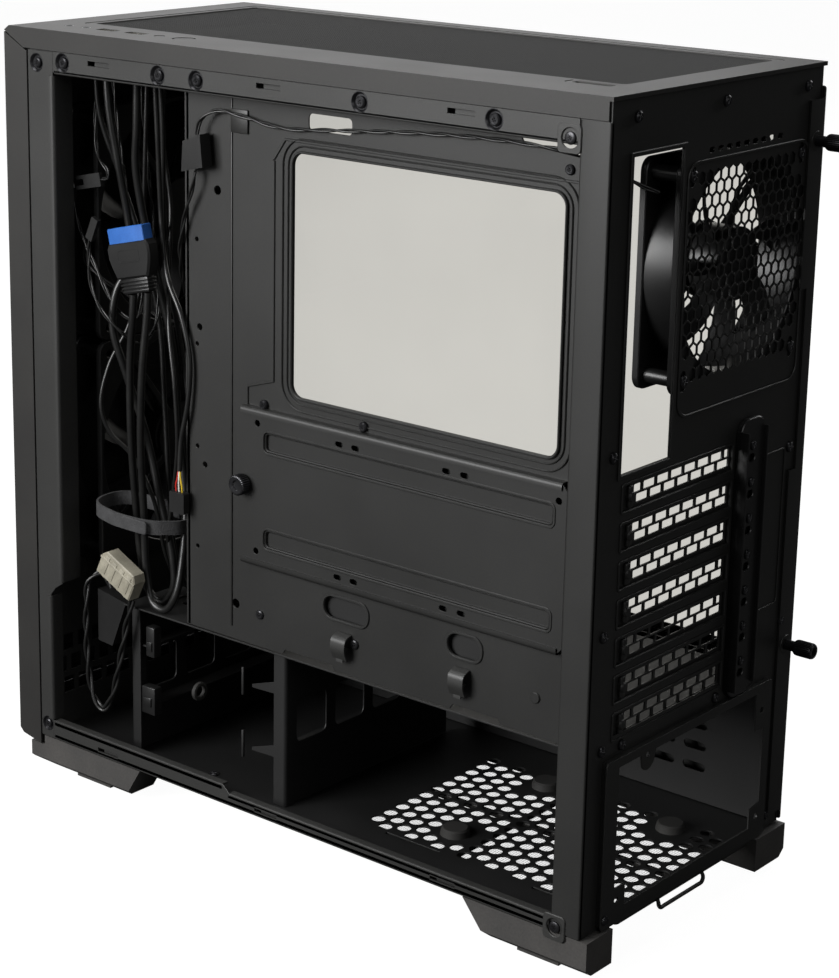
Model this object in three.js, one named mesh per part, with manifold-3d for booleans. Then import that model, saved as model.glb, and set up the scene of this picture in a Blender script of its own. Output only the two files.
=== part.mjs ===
// Mid-tower desktop computer case with its right-hand cover off: steel chassis, plastic cap and
// front, windowed left cover, fans, filters and the leads of the front panel, in millimetres.
// +X is the open right-hand side, +Y the rear, +Z up, and z = 0 is the surface it stands on.
import * as THREE from "three";
import { mergeVertices } from "three/addons/utils/BufferGeometryUtils.js";
import Module from "manifold-3d";

const wasm = await Module();
wasm.setup();

// Outer sizes.
const nearX = 99;
const farX = -97.5;
const coverX = -99.5;
const capX = 99.5;
const frontY = -192;
const bezelY = -211;
const rearY = 213;
const supplyY = 216.5;
const footEndY = 218;
const floorZ = 24;
const roofZ = 447;
const capZ = 459;
const sheet = 1;
const gap = 0.3;

// Side rails and pillars of the open frame.
const railTopZ = 434;
const railLowZ = 36;
const railLowRearZ = 31.5;
const railStepY = -38;
const pillarFrontY = -171;
const pillarFrontLowY = -181;
const pillarStepZ = 118;
const pillarRearY = 195;
const farPillarRearY = 202;
const hookYs = [-142, -13.5, 115];
const hookLength = 17;

// Board tray, its window and the shroud over the lower bay.
const trayX = 84;
const trayFrontY = -81;
const trayLowZ = 120.5;
const windowYs = [0.5, 178.5];
const windowZs = [272.6, 407];
const shroudZ = 119.5;
const shroudX = -88;

// Rear panel openings.
const portXs = [35.5, 79.5];
const portZs = [269.8, 428.3];
const slotCount = 7;
const slotPitch = 20.32;
const slotTopZ = 256.5;
const slotXs = [-26, 76];
const slotHeight = 13.5;
const raisedXs = [-77, 84.5];
const raisedTopZ = 118.4;
const supplyXs = [-70, 73];
const supplyZs = [33, 113];
const supplyScrews = [[-67.2, 102], [46.8, 112], [-67.2, 38], [70.8, 38]];

// Fans.
const fanSize = 120;
const fanDepth = 25;
const rearFan = { x: -26.7, z: 360 };
const frontFanZs = [202, 342.6];
const frontFanSize = 140;

// Disk cage.
const cageYs = [-130, -7];
const cageXs = [-70, 80];
const ledgeZs = [56, 95];

// Cap, its filter and the ports in its margin.
const filterXs = [-88, 61];
const filterYs = [-186, 196];
const marginX = 75;
const jackYs = [-182, -168];
const usbYs = [-150, -127];
const resetY = -109;
const powerY = -90;

// Left cover.
const coverYs = [-191, 216];
const coverZs = [25, 446];
const paneYs = [-165, 184];
const paneZs = [124, 429];
const coverScrews = [417.5, 133.6];
const coverScrewX = -92;

// Disk plate on the back of the tray.
const plateYs = [-37, 188];
const plateZs = [171, 261];
const plateScrewZ = 217;
const plateX = 88;

const finishes = {
  steel: { color: 0x333331, roughness: 0.5, metalness: 0.6 },
  shell: { color: 0x3a3936, roughness: 0.55, metalness: 0 },
  dark: { color: 0x1a1a1a, roughness: 0.6, metalness: 0 },
  mesh: { color: 0x262624, roughness: 0.7, metalness: 0.2 },
  rubber: { color: 0x242322, roughness: 0.85, metalness: 0 },
  bright: { color: 0x9a9a98, roughness: 0.3, metalness: 1 },
  blue: { color: 0x2f6fd0, roughness: 0.4, metalness: 0 },
  cream: { color: 0xcfc6ae, roughness: 0.5, metalness: 0 },
  clear: { color: 0xc4c6c4, roughness: 0.05, metalness: 0 },
  board: { color: 0x1c3a2c, roughness: 0.5, metalness: 0 },
  cloth: { color: 0x3b3b3c, roughness: 0.95, metalness: 0 },
};

const tower = new THREE.Group();

// A closed three.js geometry as a solid that can be cut and joined.
function solid(geometry) {
  const bare = geometry.index ? geometry.toNonIndexed() : geometry.clone();
  bare.deleteAttribute("normal");
  bare.deleteAttribute("uv");
  const merged = mergeVertices(bare, 1e-4);
  const vertProperties = merged.attributes.position.array;
  const triVerts = new Uint32Array(merged.index.array);
  return new wasm.Manifold(new wasm.Mesh({ numProp: 3, vertProperties, triVerts }));
}

function place(name, body, finish, group = tower) {
  const made = body.getMesh();
  const points = new THREE.BufferAttribute(made.vertProperties.slice(), 3);
  const faces = new THREE.BufferAttribute(made.triVerts.slice(), 1);
  const geometry = new THREE.BufferGeometry().setAttribute("position", points);
  geometry.setIndex(faces);
  const flat = geometry.toNonIndexed();
  flat.computeVertexNormals();
  const mesh = new THREE.Mesh(flat, new THREE.MeshStandardMaterial(finishes[finish]));
  mesh.name = name;
  group.add(mesh);
  return mesh;
}

function box(x0, x1, y0, y1, z0, z1) {
  const geometry = new THREE.BoxGeometry(x1 - x0, y1 - y0, z1 - z0);
  geometry.translate((x0 + x1) / 2, (y0 + y1) / 2, (z0 + z1) / 2);
  return solid(geometry);
}

// A round bar along an axis; (u, v) is its centre in the two other axes, in x, y, z order.
function bar(axis, radius, u, v, from, to, sides = 20, endRadius = radius) {
  const geometry = new THREE.CylinderGeometry(endRadius, radius, to - from, sides);
  const middle = (from + to) / 2;
  if (axis === "x") geometry.rotateZ(-Math.PI / 2).translate(middle, u, v);
  if (axis === "y") geometry.translate(u, middle, v);
  if (axis === "z") geometry.rotateX(Math.PI / 2).translate(u, v, middle);
  return solid(geometry);
}

// An outline given in the two other axes, in x, y, z order, drawn out along an axis.
function prism(axis, outline, from, to) {
  const listed = Array.isArray(outline);
  const shape = listed ? new THREE.Shape(outline.map((point) => new THREE.Vector2(...point))) : outline;
  const settings = { depth: to - from, bevelEnabled: false, curveSegments: 3 };
  const geometry = new THREE.ExtrudeGeometry(shape, settings);
  const turn = new THREE.Matrix4();
  if (axis === "x") {
    turn.makeBasis(new THREE.Vector3(0, 1, 0), new THREE.Vector3(0, 0, 1), new THREE.Vector3(1, 0, 0));
    geometry.applyMatrix4(turn).translate(from, 0, 0);
  }
  if (axis === "y") geometry.rotateX(Math.PI / 2).translate(0, to, 0);
  if (axis === "z") geometry.translate(0, 0, from);
  return solid(geometry);
}

function roundedOutline(u0, u1, v0, v1, r) {
  const shape = new THREE.Shape();
  shape.absarc(u1 - r, v1 - r, r, 0, Math.PI / 2);
  shape.absarc(u0 + r, v1 - r, r, Math.PI / 2, Math.PI);
  shape.absarc(u0 + r, v0 + r, r, Math.PI, 1.5 * Math.PI);
  shape.absarc(u1 - r, v0 + r, r, 1.5 * Math.PI, 2 * Math.PI);
  return shape;
}

function join(pieces) {
  return pieces.reduce((whole, piece) => whole.add(piece));
}

function cut(whole, pieces) {
  return pieces.reduce((left, piece) => left.subtract(piece), whole);
}

// ---- steel chassis

// Roof: a plate with a rail folded down each side, slotted for the hooks of the covers.
function chassisTop() {
  const inner = nearX - sheet - gap;
  const flange = [pillarFrontY + gap, pillarRearY - gap];
  const body = join([
    box(farX + sheet + gap, inner, frontY + sheet + gap, rearY - sheet - gap, roofZ - sheet, roofZ),
    box(farX, nearX, ...flange, roofZ - sheet, roofZ),
    box(nearX - sheet, nearX, ...flange, railTopZ, roofZ),
    box(farX, farX + sheet, ...flange, railTopZ, roofZ),
  ]);
  const vents = [-120, 25].map((y) => prism("z", roundedOutline(-78, 50, y, y + 132, 10), roofZ - 3, roofZ + 1));
  const ports = box(64, 88, -189, -78, roofZ - 3, roofZ + 1);
  const hooks = hookYs.flatMap((y) => [
    box(nearX - 2, nearX + 1, y, y + hookLength, 441.3, 444),
    box(farX - 1, farX + 2, y, y + hookLength, 441.3, 444),
  ]);
  place("chassis_top", cut(body, [...vents, ports, ...hooks]), "steel");
}

// Floor: a plate with a rail folded up each side, lower beside the power supply than in front.
function chassisBottom() {
  const outline = [
    [pillarFrontLowY + gap, floorZ],
    [pillarRearY - gap, floorZ],
    [pillarRearY - gap, railLowRearZ],
    [railStepY + 5, railLowRearZ],
    [railStepY, railLowZ],
    [pillarFrontLowY + gap, railLowZ],
  ];
  const body = join([
    box(farX + sheet + gap, nearX - sheet - gap, frontY + sheet + gap, rearY - sheet - gap, floorZ, floorZ + sheet),
    box(farX, nearX, pillarFrontLowY + gap, pillarRearY - gap, floorZ, floorZ + sheet),
    prism("x", outline, nearX - sheet, nearX),
    prism("x", outline, farX, farX + sheet),
  ]);
  const hooks = hookYs.flatMap((y) => [
    box(nearX - 2, nearX + 1, y, y + hookLength, 26.6, 29.4),
    box(farX - 1, farX + 2, y, y + hookLength, 26.6, 29.4),
  ]);
  place("chassis_bottom", cut(body, hooks), "steel");
}

// Front wall: two fan openings, and a pillar folded back at each side.
function chassisFront() {
  const pillar = [
    [frontY, floorZ],
    [pillarFrontLowY, floorZ],
    [pillarFrontLowY, pillarStepZ],
    [pillarFrontY, pillarStepZ + 9],
    [pillarFrontY, roofZ],
    [frontY, roofZ],
  ];
  const body = join([
    box(farX, nearX, frontY, frontY + sheet, floorZ, roofZ),
    prism("x", pillar, nearX - sheet, nearX),
    prism("x", pillar, farX, farX + sheet),
  ]);
  const openings = frontFanZs.map((z) => bar("y", 67, 0, z, frontY - 1, frontY + 3, 28));
  place("chassis_front", cut(body, openings), "steel");
}

// Rear wall: port opening, seven slots, and the raised section that carries the power supply.
function rearPanel() {
  const plate = box(farX, nearX, rearY - sheet, rearY, floorZ, capZ - 2.5);
  const pillars = [
    box(nearX - sheet, nearX, pillarRearY, rearY - sheet / 2, floorZ + gap, roofZ - gap),
    box(farX, farX + sheet, farPillarRearY, rearY - sheet / 2, floorZ + gap, roofZ - gap),
  ];
  const block = box(...raisedXs, rearY - sheet / 2, supplyY, floorZ + gap, raisedTopZ);
  const hollow = box(raisedXs[0] + 1, raisedXs[1] - 1, rearY - 2, supplyY - sheet, floorZ + 1.3, raisedTopZ - 1);
  const slots = [];
  for (let i = 0; i < slotCount; i += 1) {
    const z = slotTopZ - i * slotPitch;
    slots.push(box(...slotXs, rearY - 3, rearY + 1, z - slotHeight / 2, z + slotHeight / 2));
  }
  const supply = [
    [supplyXs[0], 46],
    [-60, 44],
    [-60, supplyZs[0]],
    [63, supplyZs[0]],
    [63, 45],
    [supplyXs[1], 45],
    [supplyXs[1], supplyZs[1]],
    [53, supplyZs[1]],
    [52, 106],
    [46.8, 103.5],
    [41, 106],
    [39, supplyZs[1]],
    [-61, supplyZs[1]],
    [-61, 91],
    [supplyXs[0], 91],
  ];
  const screws = supplyScrews.map(([x, z]) => bar("y", 1.8, x, z, supplyY - 3, supplyY + 1, 10));
  const cuts = [
    hollow,
    box(...portXs, rearY - 3, rearY + 1, ...portZs),
    ...slots,
    prism("y", supply, rearY - 3, supplyY + 1),
    ...screws,
  ];
  place("rear_panel", cut(join([plate, ...pillars, block]), cuts), "steel");
}

// Board tray: one upright plate with the cut-out behind the processor and cable openings.
function boardTray() {
  const lowZ = trayLowZ;
  const topZ = roofZ - sheet - gap;
  const rear = rearY - sheet - gap;
  const outline = [
    [trayFrontY, lowZ],
    [rear, lowZ],
    [rear, topZ],
    [trayFrontY, topZ],
  ];
  const body = join([
    prism("x", outline, trayX - sheet, trayX),
    box(trayX - 12, trayX, trayFrontY, trayFrontY + sheet, lowZ, topZ),
  ]);
  const cuts = [
    prism("x", roundedOutline(...windowYs, ...windowZs, 7), trayX - 3, trayX + 1),
    prism("x", roundedOutline(10.5, 40.5, 420, 429, 3), trayX - 3, trayX + 1),
    prism("x", [[150, 431.5], [190, 419], [190, 431.5]], trayX - 3, trayX + 1),
    prism("x", roundedOutline(25, 56, 151.5, 164, 6), trayX - 3, trayX + 1),
    prism("x", roundedOutline(112, 134, 151.5, 164, 6), trayX - 3, trayX + 1),
  ];
  place("board_tray", cut(body, cuts), "steel");
}

// Shroud that hides the lower bay from the windowed side: a roof and one wall.
function supplyShroud() {
  const rear = rearY - sheet - gap;
  const body = join([
    box(shroudX, trayX - gap, cageYs[0] - 4, rear, shroudZ - sheet, shroudZ),
    box(shroudX, shroudX + sheet, cageYs[0] - 4, rear, floorZ + sheet + gap, shroudZ),
  ]);
  place("supply_shroud", body, "steel");
}

// Disk cage: two walls under one roof, each with folded ledges for two disks.
function diskCage() {
  const low = floorZ + sheet + gap;
  const top = shroudZ - sheet - gap;
  const parts = [
    box(...cageXs, cageYs[0], cageYs[0] + sheet, low, top),
    box(...cageXs, cageYs[1] - sheet, cageYs[1], low, top),
    box(...cageXs, ...cageYs, top - sheet, top),
  ];
  for (const z of ledgeZs) {
    parts.push(box(...cageXs, cageYs[0], cageYs[0] + 12, z, z + sheet));
    parts.push(box(...cageXs, cageYs[1] - 12, cageYs[1], z, z + sheet));
  }
  place("disk_cage", join(parts), "steel");
}

// Seven blanking covers behind the slots, each with its screw tab folded outwards.
function slotCovers() {
  const face = rearY - sheet - gap;
  for (let i = 0; i < slotCount; i += 1) {
    const z = slotTopZ - i * slotPitch;
    const cover = box(-40, 79, face - sheet, face, z - 9.2, z + 9.2);
    place("slot_cover_" + (i + 1), cover, "steel");
  }
}

// Channel-shaped bar screwed over the ends of the slot covers.
function slotBar() {
  const outline = roundedOutline(-53, -29, 118.8, 276, 8);
  const body = prism("y", outline, rearY + gap, supplyY);
  const hollow = box(-51.5, -30.5, rearY, supplyY - 1.2, 128, 266);
  place("slot_bar", cut(body, [hollow]), "dark");
}

// ---- fans

// Square frame with a round throat, four struts and the seat of the motor, axis along Y.
function fanFrame(name, x, z, y0, strutsAtRear, size) {
  const half = size / 2;
  const pitch = size === fanSize ? 105 : 124.5;
  const y1 = y0 + fanDepth;
  const outer = prism("y", roundedOutline(x - half, x + half, z - half, z + half, 6), y0, y1);
  const throat = bar("y", half - 2.5, x, z, y0 - 1, y1 + 1, 28);
  const holes = [];
  for (const dx of [-1, 1]) {
    for (const dz of [-1, 1]) {
      holes.push(bar("y", 2.2, x + (dx * pitch) / 2, z + (dz * pitch) / 2, y0 - 1, y1 + 1, 6));
    }
  }
  const from = strutsAtRear ? y1 - 3 : y0;
  const struts = [
    box(x - half + 2, x + half - 2, from, from + 3, z - 2, z + 2),
    box(x - 2, x + 2, from, from + 3, z - half + 2, z + half - 2),
    bar("y", 20, x, z, from, from + 3, 16),
  ];
  place(name, join([cut(outer, [throat, ...holes]), ...struts]), "dark");
}

// Hub with tilted blades that reach close to the throat.
function fanRotor(name, x, z, y0, strutsAtRear, size) {
  const from = strutsAtRear ? y0 + 1 : y0 + 3.6;
  const to = strutsAtRear ? y0 + fanDepth - 3.6 : y0 + fanDepth - 1;
  const reach = size / 2 - 4.5;
  const blades = 7;
  const parts = [bar("y", 19.5, 0, 0, from, to, 21)];
  for (let i = 0; i < blades; i += 1) {
    const blade = new THREE.BoxGeometry(reach - 16, 1.6, 30);
    blade.rotateX(0.62);
    blade.translate(16 + (reach - 16) / 2, (from + to) / 2, 0);
    blade.rotateY((i * 2 * Math.PI) / blades);
    parts.push(solid(blade));
  }
  const limit = box(-reach - 1, reach + 1, from, to, -reach - 1, reach + 1);
  const rotor = place(name, join(parts).intersect(limit), "dark");
  rotor.position.set(x, 0, z);
}

function fans() {
  const rear0 = rearY - sheet - gap - fanDepth;
  fanFrame("rear_fan_frame", rearFan.x, rearFan.z, rear0, false, fanSize);
  fanRotor("rear_fan_rotor", rearFan.x, rearFan.z, rear0, false, fanSize);
  const front0 = frontY + sheet + gap;
  frontFanZs.forEach((z, i) => {
    fanFrame("front_fan_frame_" + (i + 1), 0, z, front0, true, frontFanSize);
    fanRotor("front_fan_rotor_" + (i + 1), 0, z, front0, true, frontFanSize);
  });
}

// ---- plastic cap, front and filters

// Cap: a shallow tray upside down, with a recessed ledge for its filter and holes for the ports.
function topCap() {
  const outline = [
    [bezelY, 456.2],
    [-195, roofZ + gap],
    [rearY - sheet - gap, roofZ + gap],
    [rearY - sheet - gap, capZ - 2.2],
    [rearY + 1, capZ - 2.2],
    [rearY + 1, capZ],
    [-207, capZ],
  ];
  const body = prism("x", outline, coverX, capX);
  const under = box(coverX + 2.5, capX - 2.5, -188, rearY, roofZ - 1, capZ - 5);
  const seat = prism("z", roundedOutline(...filterXs, ...filterYs, 3), capZ - 3, capZ + 1);
  const tab = prism("z", roundedOutline(filterXs[1] - 8, 70, 163, 194, 3), capZ - 3, capZ + 1);
  const through = box(filterXs[0] + 6, filterXs[1] - 6, filterYs[0] + 6, filterYs[1] - 6, capZ - 8, capZ);
  const cuts = [under, seat, tab, through];
  for (const y of jackYs) cuts.push(bar("z", 3.2, marginX, y, capZ - 8, capZ + 1, 16));
  for (const y of usbYs) cuts.push(box(marginX - 3.4, marginX + 3.4, y - 7, y + 7, capZ - 8, capZ + 1));
  cuts.push(bar("z", 3.3, marginX, resetY, capZ - 8, capZ + 1, 16));
  cuts.push(bar("z", 6.8, marginX, powerY, capZ - 8, capZ + 1, 24));
  place("top_cap", cut(body, cuts), "shell");
}

function topFilter() {
  const frame = prism("z", roundedOutline(filterXs[0] + gap, filterXs[1] - gap, filterYs[0] + gap, filterYs[1] - gap, 3), capZ - 2.6, capZ - 0.2);
  const tab = prism("z", roundedOutline(filterXs[1] - 8, 70 - gap, 163 + gap, 194 - gap, 3), capZ - 2.6, capZ - 0.2);
  const field = box(filterXs[0] + 5, filterXs[1] - 5, filterYs[0] + 5, filterYs[1] - 5, capZ - 1.2, capZ + 1);
  place("top_filter", cut(join([frame, tab]), [field]), "mesh");
}

// Front: a deep frame open at the back, with a window for the mesh.
function frontBezel() {
  const outline = [
    [bezelY + 3, 21],
    [frontY - gap, 18],
    [frontY - gap, 445.5],
    [bezelY, 455.2],
    [bezelY, 24],
  ];
  const body = prism("x", outline, coverX, capX);
  const hollow = box(coverX + 3, capX - 3, bezelY + 5, frontY + 1, 26, 443);
  const window = prism("y", roundedOutline(-84, 84, 44, 432, 8), bezelY - 1, bezelY + 9);
  place("front_bezel", cut(body, [hollow, window]), "shell");
}

function frontMesh() {
  const body = prism("y", roundedOutline(-83.7, 83.7, 44.3, 431.7, 8), bezelY + 1.5, bezelY + 3);
  place("front_mesh", body, "mesh");
}

// Filter drawer under the power supply, with its pull loop behind the rear panel.
function supplyFilter() {
  const frame = box(-66, 66, 0, rearY + 1, 20.2, 23.4);
  const field = box(-60, 60, 6, 203, 21.2, 24);
  const loop = cut(box(-17, 29, rearY, rearY + 4, 15.5, 23.4), [box(-14.5, 26.5, rearY - 1, rearY + 5, 17.5, 21.2)]);
  place("supply_filter", join([cut(frame, [field]), loop]), "mesh");
}

// ---- left cover with its window

function leftCover() {
  const face = box(coverX, farX - gap, ...coverYs, ...coverZs);
  const flange = prism("y", [[coverX, 31], [-88, 31], [-84, 36], [-84, 440], [coverX, 440]], rearY + gap, rearY + gap + 1.2);
  const edge = box(coverX, farX - gap, rearY, rearY + gap + 1.2, 31, 440);
  const window = prism("x", roundedOutline(...paneYs, ...paneZs, 8), coverX - 1, farX + 1);
  const grip = box(-90, -80, rearY - 1, rearY + 4, 237, 337);
  const screws = coverScrews.map((z) => bar("y", 2.4, coverScrewX, z, rearY - 1, rearY + 4, 12));
  place("left_cover", cut(join([face, flange, edge]), [window, grip, ...screws]), "steel");
  const pane = prism("x", roundedOutline(paneYs[0] - 5, paneYs[1] + 5, paneZs[0] - 5, paneZs[1] + 4, 8), farX, farX + 2);
  place("left_window", pane, "clear");
}

// Knurled thumbscrew along +Y: head, neck and shank through the flange.
function coverThumbscrews() {
  coverScrews.forEach((z, i) => {
    const body = join([
      bar("y", 2, coverScrewX, z, rearY + gap, rearY + 6, 12),
      bar("y", 3, coverScrewX, z, rearY + 1.8, rearY + 9, 14),
      bar("y", 4.6, coverScrewX, z, rearY + 8, rearY + 20, 20),
    ]);
    place("cover_thumbscrew_" + (i + 1), body, "dark");
  });
}

// ---- disk plate on the tray

function diskPlate() {
  const face = box(plateX - 1.2, plateX, ...plateYs, ...plateZs);
  const lips = [
    box(trayX + gap, plateX, ...plateYs, plateZs[1] - 1.2, plateZs[1]),
    box(trayX + gap, plateX, ...plateYs, plateZs[0], plateZs[0] + 1.2),
  ];
  const ribs = [[238, 249.5], [182, 193]].map(([z0, z1]) => {
    return box(plateX - 2.6, plateX - 0.6, -17, 180, z0, z1);
  });
  const dents = [[239.2, 248.3], [183.2, 191.8]].map(([z0, z1]) => {
    return box(plateX - 1.8, plateX + 1, -16, 179, z0, z1);
  });
  const holes = [];
  for (const z of [253, 177.4]) {
    for (const y of [37.5, 49, 111, 123]) holes.push(bar("x", 1.8, y, z, plateX - 3, plateX + 1, 10));
  }
  const screw = bar("x", 2.4, plateYs[0] + 5, plateScrewZ, plateX - 3, plateX + 1, 12);
  place("disk_plate", cut(join([face, ...lips, ...ribs]), [...dents, ...holes, screw]), "steel");
}

function diskPlateScrew() {
  const y = plateYs[0] + 5;
  const body = join([
    bar("x", 2, y, plateScrewZ, trayX + gap, plateX + 2, 12),
    bar("x", 6, y, plateScrewZ, plateX + gap, plateX + 7, 20),
  ]);
  place("disk_plate_thumbscrew", body, "dark");
}

// ---- feet

// Wedge foot, its outer lower edge bevelled, standing on a rubber pad.
function foot(name, side, outline, padYs) {
  const from = side > 0 ? 75 : -98.5;
  const to = side > 0 ? 98.5 : -67.5;
  const body = prism("x", outline, from, to);
  const corner = side > 0 ? [[93, 3.5], [99, 3.5], [99, 8.5]] : [[-93, 3.5], [-99, 8.5], [-99, 3.5]];
  const bevel = prism("y", corner, -230, 230);
  const padFrom = side > 0 ? 78 : -90;
  const pad = box(padFrom, padFrom + 12, ...padYs, 0, 5);
  place(name, cut(body, [bevel]).add(pad), "shell");
}

function feet() {
  const rear = [[137, floorZ - gap], [153, 4], [footEndY, 4], [footEndY, floorZ - gap]];
  const front = [[-190, floorZ - gap], [-190, 17.5], [-202, 17.5], [-202, 6], [-184, 4], [-119, 4], [-107, floorZ - gap]];
  for (const [word, side] of [["right", 1], ["left", -1]]) {
    foot("rear_foot_" + word, side, rear, [168, 195]);
    foot("front_foot_" + word, side, front, [-170, -141]);
  }
}

// ---- front panel board, ports and buttons

// Board under the cap's margin: two round sockets in one block, two square ones, two switches.
function portBoard() {
  const top = 439.6;
  const board = [box(66, 86, -188, -82.5, 438, top)];
  for (const y of [resetY, powerY]) board.push(box(marginX - 3, marginX + 3, y - 3, y + 3, top - 0.5, 442));
  place("port_board", join(board), "board");
  const jacks = [box(marginX - 5, marginX + 5, jackYs[0] - 6, jackYs[1] + 6, top + gap, 452)];
  for (const y of jackYs) jacks.push(bar("z", 2.9, marginX, y, 451, capZ - 0.4, 16));
  const bores = jackYs.map((y) => bar("z", 1.75, marginX, y, 442, capZ + 1, 12));
  place("audio_jacks", cut(join(jacks), bores), "dark");
  usbYs.forEach((y, i) => {
    const shell = box(marginX - 3.1, marginX + 3.1, y - 6.7, y + 6.7, top + gap, capZ - 0.3);
    const mouth = box(marginX - 2.7, marginX + 2.7, y - 6.3, y + 6.3, 443, capZ + 1);
    const tongue = box(marginX + 0.5, marginX + 2, y - 5.6, y + 5.6, 442, capZ - 2);
    place("usb_port_" + (i + 1), join([cut(shell, [mouth]), tongue]), "bright");
  });
}

// Round button on a short stem that ends just above its switch on the board.
function button(name, y, radius) {
  const body = join([
    bar("z", radius, marginX, y, capZ - 4, capZ - 0.2, 24),
    bar("z", radius * 0.5, marginX, y, 444.4, capZ - 4, 12),
  ]);
  place(name, body, "dark");
}

// ---- leads of the front panel and their plugs

function curveOf(points) {
  return new THREE.CatmullRomCurve3(points.map((p) => new THREE.Vector3(...p)), false, "centripetal");
}

// A round lead of eight sides along its route.
function lead(name, diameter, points) {
  const route = curveOf(points);
  const ring = [];
  for (let i = 0; i < 8; i += 1) {
    const angle = ((i + 0.5) * Math.PI) / 4;
    ring.push(new THREE.Vector2((Math.cos(angle) * diameter) / 2, (Math.sin(angle) * diameter) / 2));
  }
  const steps = Math.min(80, Math.max(8, Math.round(route.getLength() / (3 * diameter))));
  const settings = { steps, extrudePath: route, bevelEnabled: false };
  place(name, solid(new THREE.ExtrudeGeometry(new THREE.Shape(ring), settings)), "dark");
}

// Header plug of the two thick leads: a square shroud on a tapered body with a ribbed neck.
function headerPlug() {
  const plug = new THREE.Group();
  plug.position.set(0, -119.5, 343);
  plug.rotation.x = 0.237;
  tower.add(plug);
  const shroud = cut(box(84.5, 92.5, -14.5, 14.5, -1, 8.5), [box(86, 91, -12.5, 12.5, 2, 9)]);
  const taper = [[-15, 0], [-17, -3], [-17, -9], [-12.5, -22], [12.5, -22], [17, -9], [17, -3], [15, 0]];
  const parts = [shroud, prism("x", taper, 84, 93), box(85, 92, -11, 11, -29, -21.5)];
  for (const v of [-24, -27]) parts.push(box(84.4, 92.6, -12, 12, v - 0.7, v + 0.7));
  place("usb_plug", join(parts), "blue", plug);
}

// Small housings at the ends of the thin leads.
function smallPlugs() {
  place("audio_plug", prism("x", roundedOutline(-88, -76.5, 189, 201.5, 1), 86.2, 91), "dark");
  const tip = new THREE.Group();
  tip.position.set(78, -180.5, 364);
  tip.rotation.x = 0.38;
  tower.add(tip);
  place("switch_plug", box(-1.3, 1.3, -3, 3, 0, 14), "cream", tip);
  const led = new THREE.Group();
  led.position.set(82, -150, 374);
  led.rotation.x = 0.22;
  tower.add(led);
  const prongs = [box(-1.3, 1.3, -14, 0, -4, 4), box(-1.3, 1.3, -21, -13, -4, -1.8), box(-1.3, 1.3, -21, -13, 1.8, 4)];
  place("led_plug", join(prongs), "dark", led);
  const reset = new THREE.Group();
  reset.position.set(91, -151, 340);
  reset.rotation.x = -0.42;
  tower.add(reset);
  place("reset_plug", box(-1.3, 1.3, -2.6, 2.6, 0, 14), "dark", reset);
  place("fan_hub_plug", prism("x", [[-74, 389], [-58, 393], [-60, 411], [-73, 406]], 86, 94), "dark");
}

// Four-way power plug of the fans, and the housing that hangs under it.
function powerPlugs() {
  const plug = new THREE.Group();
  plug.position.set(0, -130, 141);
  plug.rotation.x = -0.45;
  tower.add(plug);
  const body = cut(box(84, 94, -15, 15, -8.5, 8.5), [box(86, 92, -13, 13, -9, -4)]);
  place("power_plug", body, "cream", plug);
  place("power_socket", prism("x", [[-158, 90], [-146, 89], [-134, 119], [-158, 123]], 74, 82), "dark");
}

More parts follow.
